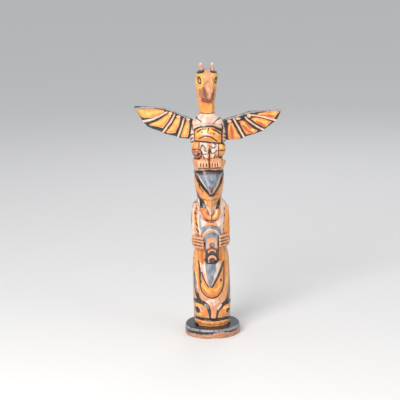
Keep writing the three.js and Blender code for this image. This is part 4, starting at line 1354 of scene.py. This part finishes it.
def base_paint():
    m = Material("black painted base")
    place = m.node("TexCoord", out=3)
    z = m.node("SeparateXYZ", out=2, inputs={0: place})
    fibres = m.noise(1.6, 4, (1, 7, 1), 0.6)
    saw = m.noise(0.9, 3, (14, 14, 1), 0.5)
    wave = m.noise(16, 3)
    wear = m.noise(2.2, 5)
    wood = m.mix(m.ramp(saw, 0.35, 0.65), linear((150, 100, 74)), linear((206, 150, 116)))
    black = m.mix(m.ramp(wear, 0.4, 0.7), linear((22, 24, 28)), linear((50, 55, 62)))
    scuffed = m.mix(m.ramp(m.noise(1.1, 4), 0.62, 0.72, 0, 0.6), black, linear((150, 132, 118)))
    # The paint ends in a wavy line part of the way down the side.
    line = m.plus(m.times(m.minus(wave, 0.5), 0.016), 0.0078)
    above = m.ramp(m.minus(z, line), -0.0004, 0.0006)
    colour = m.mix(above, wood, scuffed)
    # A painted highlight: a pale grey band round the top bevel, as if it caught the light.
    bevel_highlight = m.times(m.ramp(z, 0.0105, 0.0125), m.ramp(z, 0.0146, 0.0156, 1, 0))
    pale = m.times(bevel_highlight, m.ramp(m.noise(5, 4), 0.32, 0.56, 0.3, 0.85))
    colour = m.mix(pale, colour, linear((158, 162, 170)))
    height = m.plus(m.times(saw, 0.6), m.times(fibres, 0.4))
    rough = m.node("Mix", inputs={0: above, 2: 0.55, 3: m.ramp(wear, 0.3, 0.7, 0.24, 0.4)})
    return m.finish(colour, rough, height, 0.5, 0.3, coat=0.3, coat_roughness=0.2)


# ---------------------------------------------------------------- making the pieces

def cell_of(piece):
    full, quick = CELLS[piece]
    return full


def make_piece(name, verts, quads, skin, material, node):
    """Makes the mesh with its paint layers. It stands for one CAD node and rides on the one body."""
    mesh = bpy.data.meshes.new(name)
    count = len(quads)
    mesh.vertices.add(len(verts))
    mesh.vertices.foreach_set("co", (verts * MM).astype(np.float32).ravel())
    mesh.loops.add(count * 4)
    mesh.loops.foreach_set("vertex_index", quads.astype(np.int32).ravel())
    mesh.polygons.add(count)
    mesh.polygons.foreach_set("loop_start", np.arange(0, count * 4, 4, dtype=np.int32))
    mesh.polygons.foreach_set("use_smooth", np.ones(count, bool))
    mesh.update()
    mesh.validate()
    layers = {"hollow": hollows(verts, quads, HOLLOW_ROUNDS)}
    if skin:
        layers.update(skin.paint, **skin.tints)
    for key, values in layers.items():
        layer = mesh.attributes.new(key, "FLOAT", "POINT")
        layer.data.foreach_set("value", values.astype(np.float32))
    mesh.materials.append(material)
    obj = bpy.data.objects.new(name, mesh)
    bpy.context.scene.collection.objects.link(obj)
    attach(obj, "root")
    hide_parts(node)


def keep_inside(verts, node):
    """Holds a piece inside its CAD node's own box."""
    low, high = [np.array(v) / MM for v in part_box(node)]
    return np.clip(verts, low, high)


def make_pole():
    verts, quads = surface(pole_field, (-33, -51, 16), (33, 29, 441), cell_of("pole"))
    u, z = wobbled(unrolled(verts), verts[:, 2], verts, 60)
    skin = Skin(u, z, from_front)
    for paint in (paint_sides_and_back, paint_wide_face, paint_held_head, paint_held_body, paint_chest,
                  paint_beaked_head, paint_feet_and_legs, paint_belly, paint_bird_head):
        paint(skin)
    verts = keep_inside(verts + normals_of(verts, quads) * skin.relief[:, None], "pole")
    material = painted_wood("painted softwood")
    make_piece("carved_pole", verts, quads, skin, material, "pole")


def make_wing(side, wing):
    """Each side of the board is painted on its own, and each vertex keeps the paint of its side."""
    def field(p):
        return wing.distance(p) + 0.16 * noise3(p, (9, 5, 5), 21) + 0.06 * noise3(p, 2.2, 22) + 0.06

    verts, quads = surface(field, wing.low, wing.high, cell_of("wing"))
    u, z = wobbled(verts[:, 0], verts[:, 2], verts, 70)
    normal = normals_of(verts, quads)
    skin, rear = Skin(u, z, lambda pts: pts), Skin(u, z, lambda pts: pts)
    paint_wing(skin, side)
    paint_wing_back(rear, wing)
    behind = verts[:, 1] > WING["y"] + 0.5
    for front_layers, rear_layers in ((skin.paint, rear.paint), (skin.tints, rear.tints)):
        for key in front_layers:
            front_layers[key] = np.where(behind, rear_layers[key], front_layers[key])
    skin.relief = np.where(behind, rear.relief, skin.relief) * np.abs(normal[:, 1]) ** 2
    verts = keep_inside(verts + normal * skin.relief[:, None], "wing_" + side)
    material = painted_wood("painted wing " + side, grain=(9, 1, 1), light=(236, 196, 154),
                            dark=(214, 158, 112))
    make_piece("feathered_wing_" + side, verts, quads, skin, material, "wing_" + side)


def make_horn(side, horn, material):
    verts, quads = surface(horn.distance, horn.low, horn.high, HORN_CELL)
    verts = keep_inside(verts, "horn_" + side)
    make_piece("peg_horn_" + side, verts, quads, None, material, "horn_" + side)


def make_base():
    verts, quads = surface(base_field, (-48, -48, 0), (48, 48, 16.5), cell_of("base"))
    verts = keep_inside(verts, "base_disc")
    make_piece("sawn_base", verts, quads, None, base_paint(), "base_disc")


make_pole()
for side, wing in wings.items():
    make_wing(side, wing)
peg = peg_wood()
for side, horn in horns.items():
    make_horn(side, horn, peg)
make_base()


# ---------------------------------------------------------------- floor, light and camera

def pale_floor():
    mesh = bpy.data.meshes.new("floor")
    mesh.from_pydata([(-30, -12, 0), (30, -12, 0), (30, 60, 0), (-30, 60, 0)], [], [(0, 1, 2, 3)])
    floor = bpy.data.objects.new("floor", mesh)
    bpy.context.scene.collection.objects.link(floor)
    m = Material("floor")
    mesh.materials.append(m.finish(linear((240, 239, 237)), 0.85))


def soft_light(name, place, target, size, power, tint):
    """A round panel that faces its target, with its size in metres and its power in watts."""
    data = bpy.data.lights.new(name, "AREA")
    data.shape, data.size, data.energy, data.color = "DISK", size, power, tint
    lamp = bpy.data.objects.new(name, data)
    lamp.location = place
    lamp.rotation_euler = (Vector(target) - Vector(place)).to_track_quat("-Z", "Y").to_euler()
    bpy.context.scene.collection.objects.link(lamp)


def studio():
    world = bpy.data.worlds.new("studio")
    world.use_nodes = True
    background = world.node_tree.nodes["Background"]
    background.inputs["Color"].default_value = (0.93, 0.95, 1, 1)
    background.inputs["Strength"].default_value = 0.55
    bpy.context.scene.world = world
    soft_light("key", (-0.9, -1.7, 1.3), (0, 0, 0.23), 1.3, 44, (1, 0.98, 0.95))
    soft_light("fill", (1.5, -1.3, 0.8), (0, 0, 0.2), 1.1, 6, (1, 0.98, 0.96))
    soft_light("rim", (0.4, 1.6, 1.4), (0, 0, 0.25), 1.0, 4, (0.95, 0.97, 1))


def camera():
    """Looks at the front from a little above and to the left, tipped by the object's own small lean."""
    target, distance = Vector((-0.015407, 0.005728, 0.223763)), 2.2
    azimuth, elevation, roll = (math.radians(v) for v in (-2.5, 12.0, 1.5))
    back = Vector((math.sin(azimuth) * math.cos(elevation), -math.cos(azimuth) * math.cos(elevation),
                   math.sin(elevation)))
    side = (-back).cross(Vector((0, 0, 1))).normalized()
    up = side.cross(-back)
    right = math.cos(roll) * side - math.sin(roll) * up
    above = math.sin(roll) * side + math.cos(roll) * up
    data = bpy.data.cameras.new("camera")
    data.lens, data.sensor_width, data.clip_start, data.clip_end = 120, 36, 0.05, 200
    cam = bpy.data.objects.new("camera", data)
    cam.matrix_world = Matrix((right, above, back)).transposed().to_4x4()
    cam.location = target + back * distance
    bpy.context.scene.collection.objects.link(cam)
    bpy.context.scene.camera = cam


pale_floor()
studio()
camera()
bpy.context.scene.view_settings.view_transform = "Standard"

bpy.context.view_layer.update()
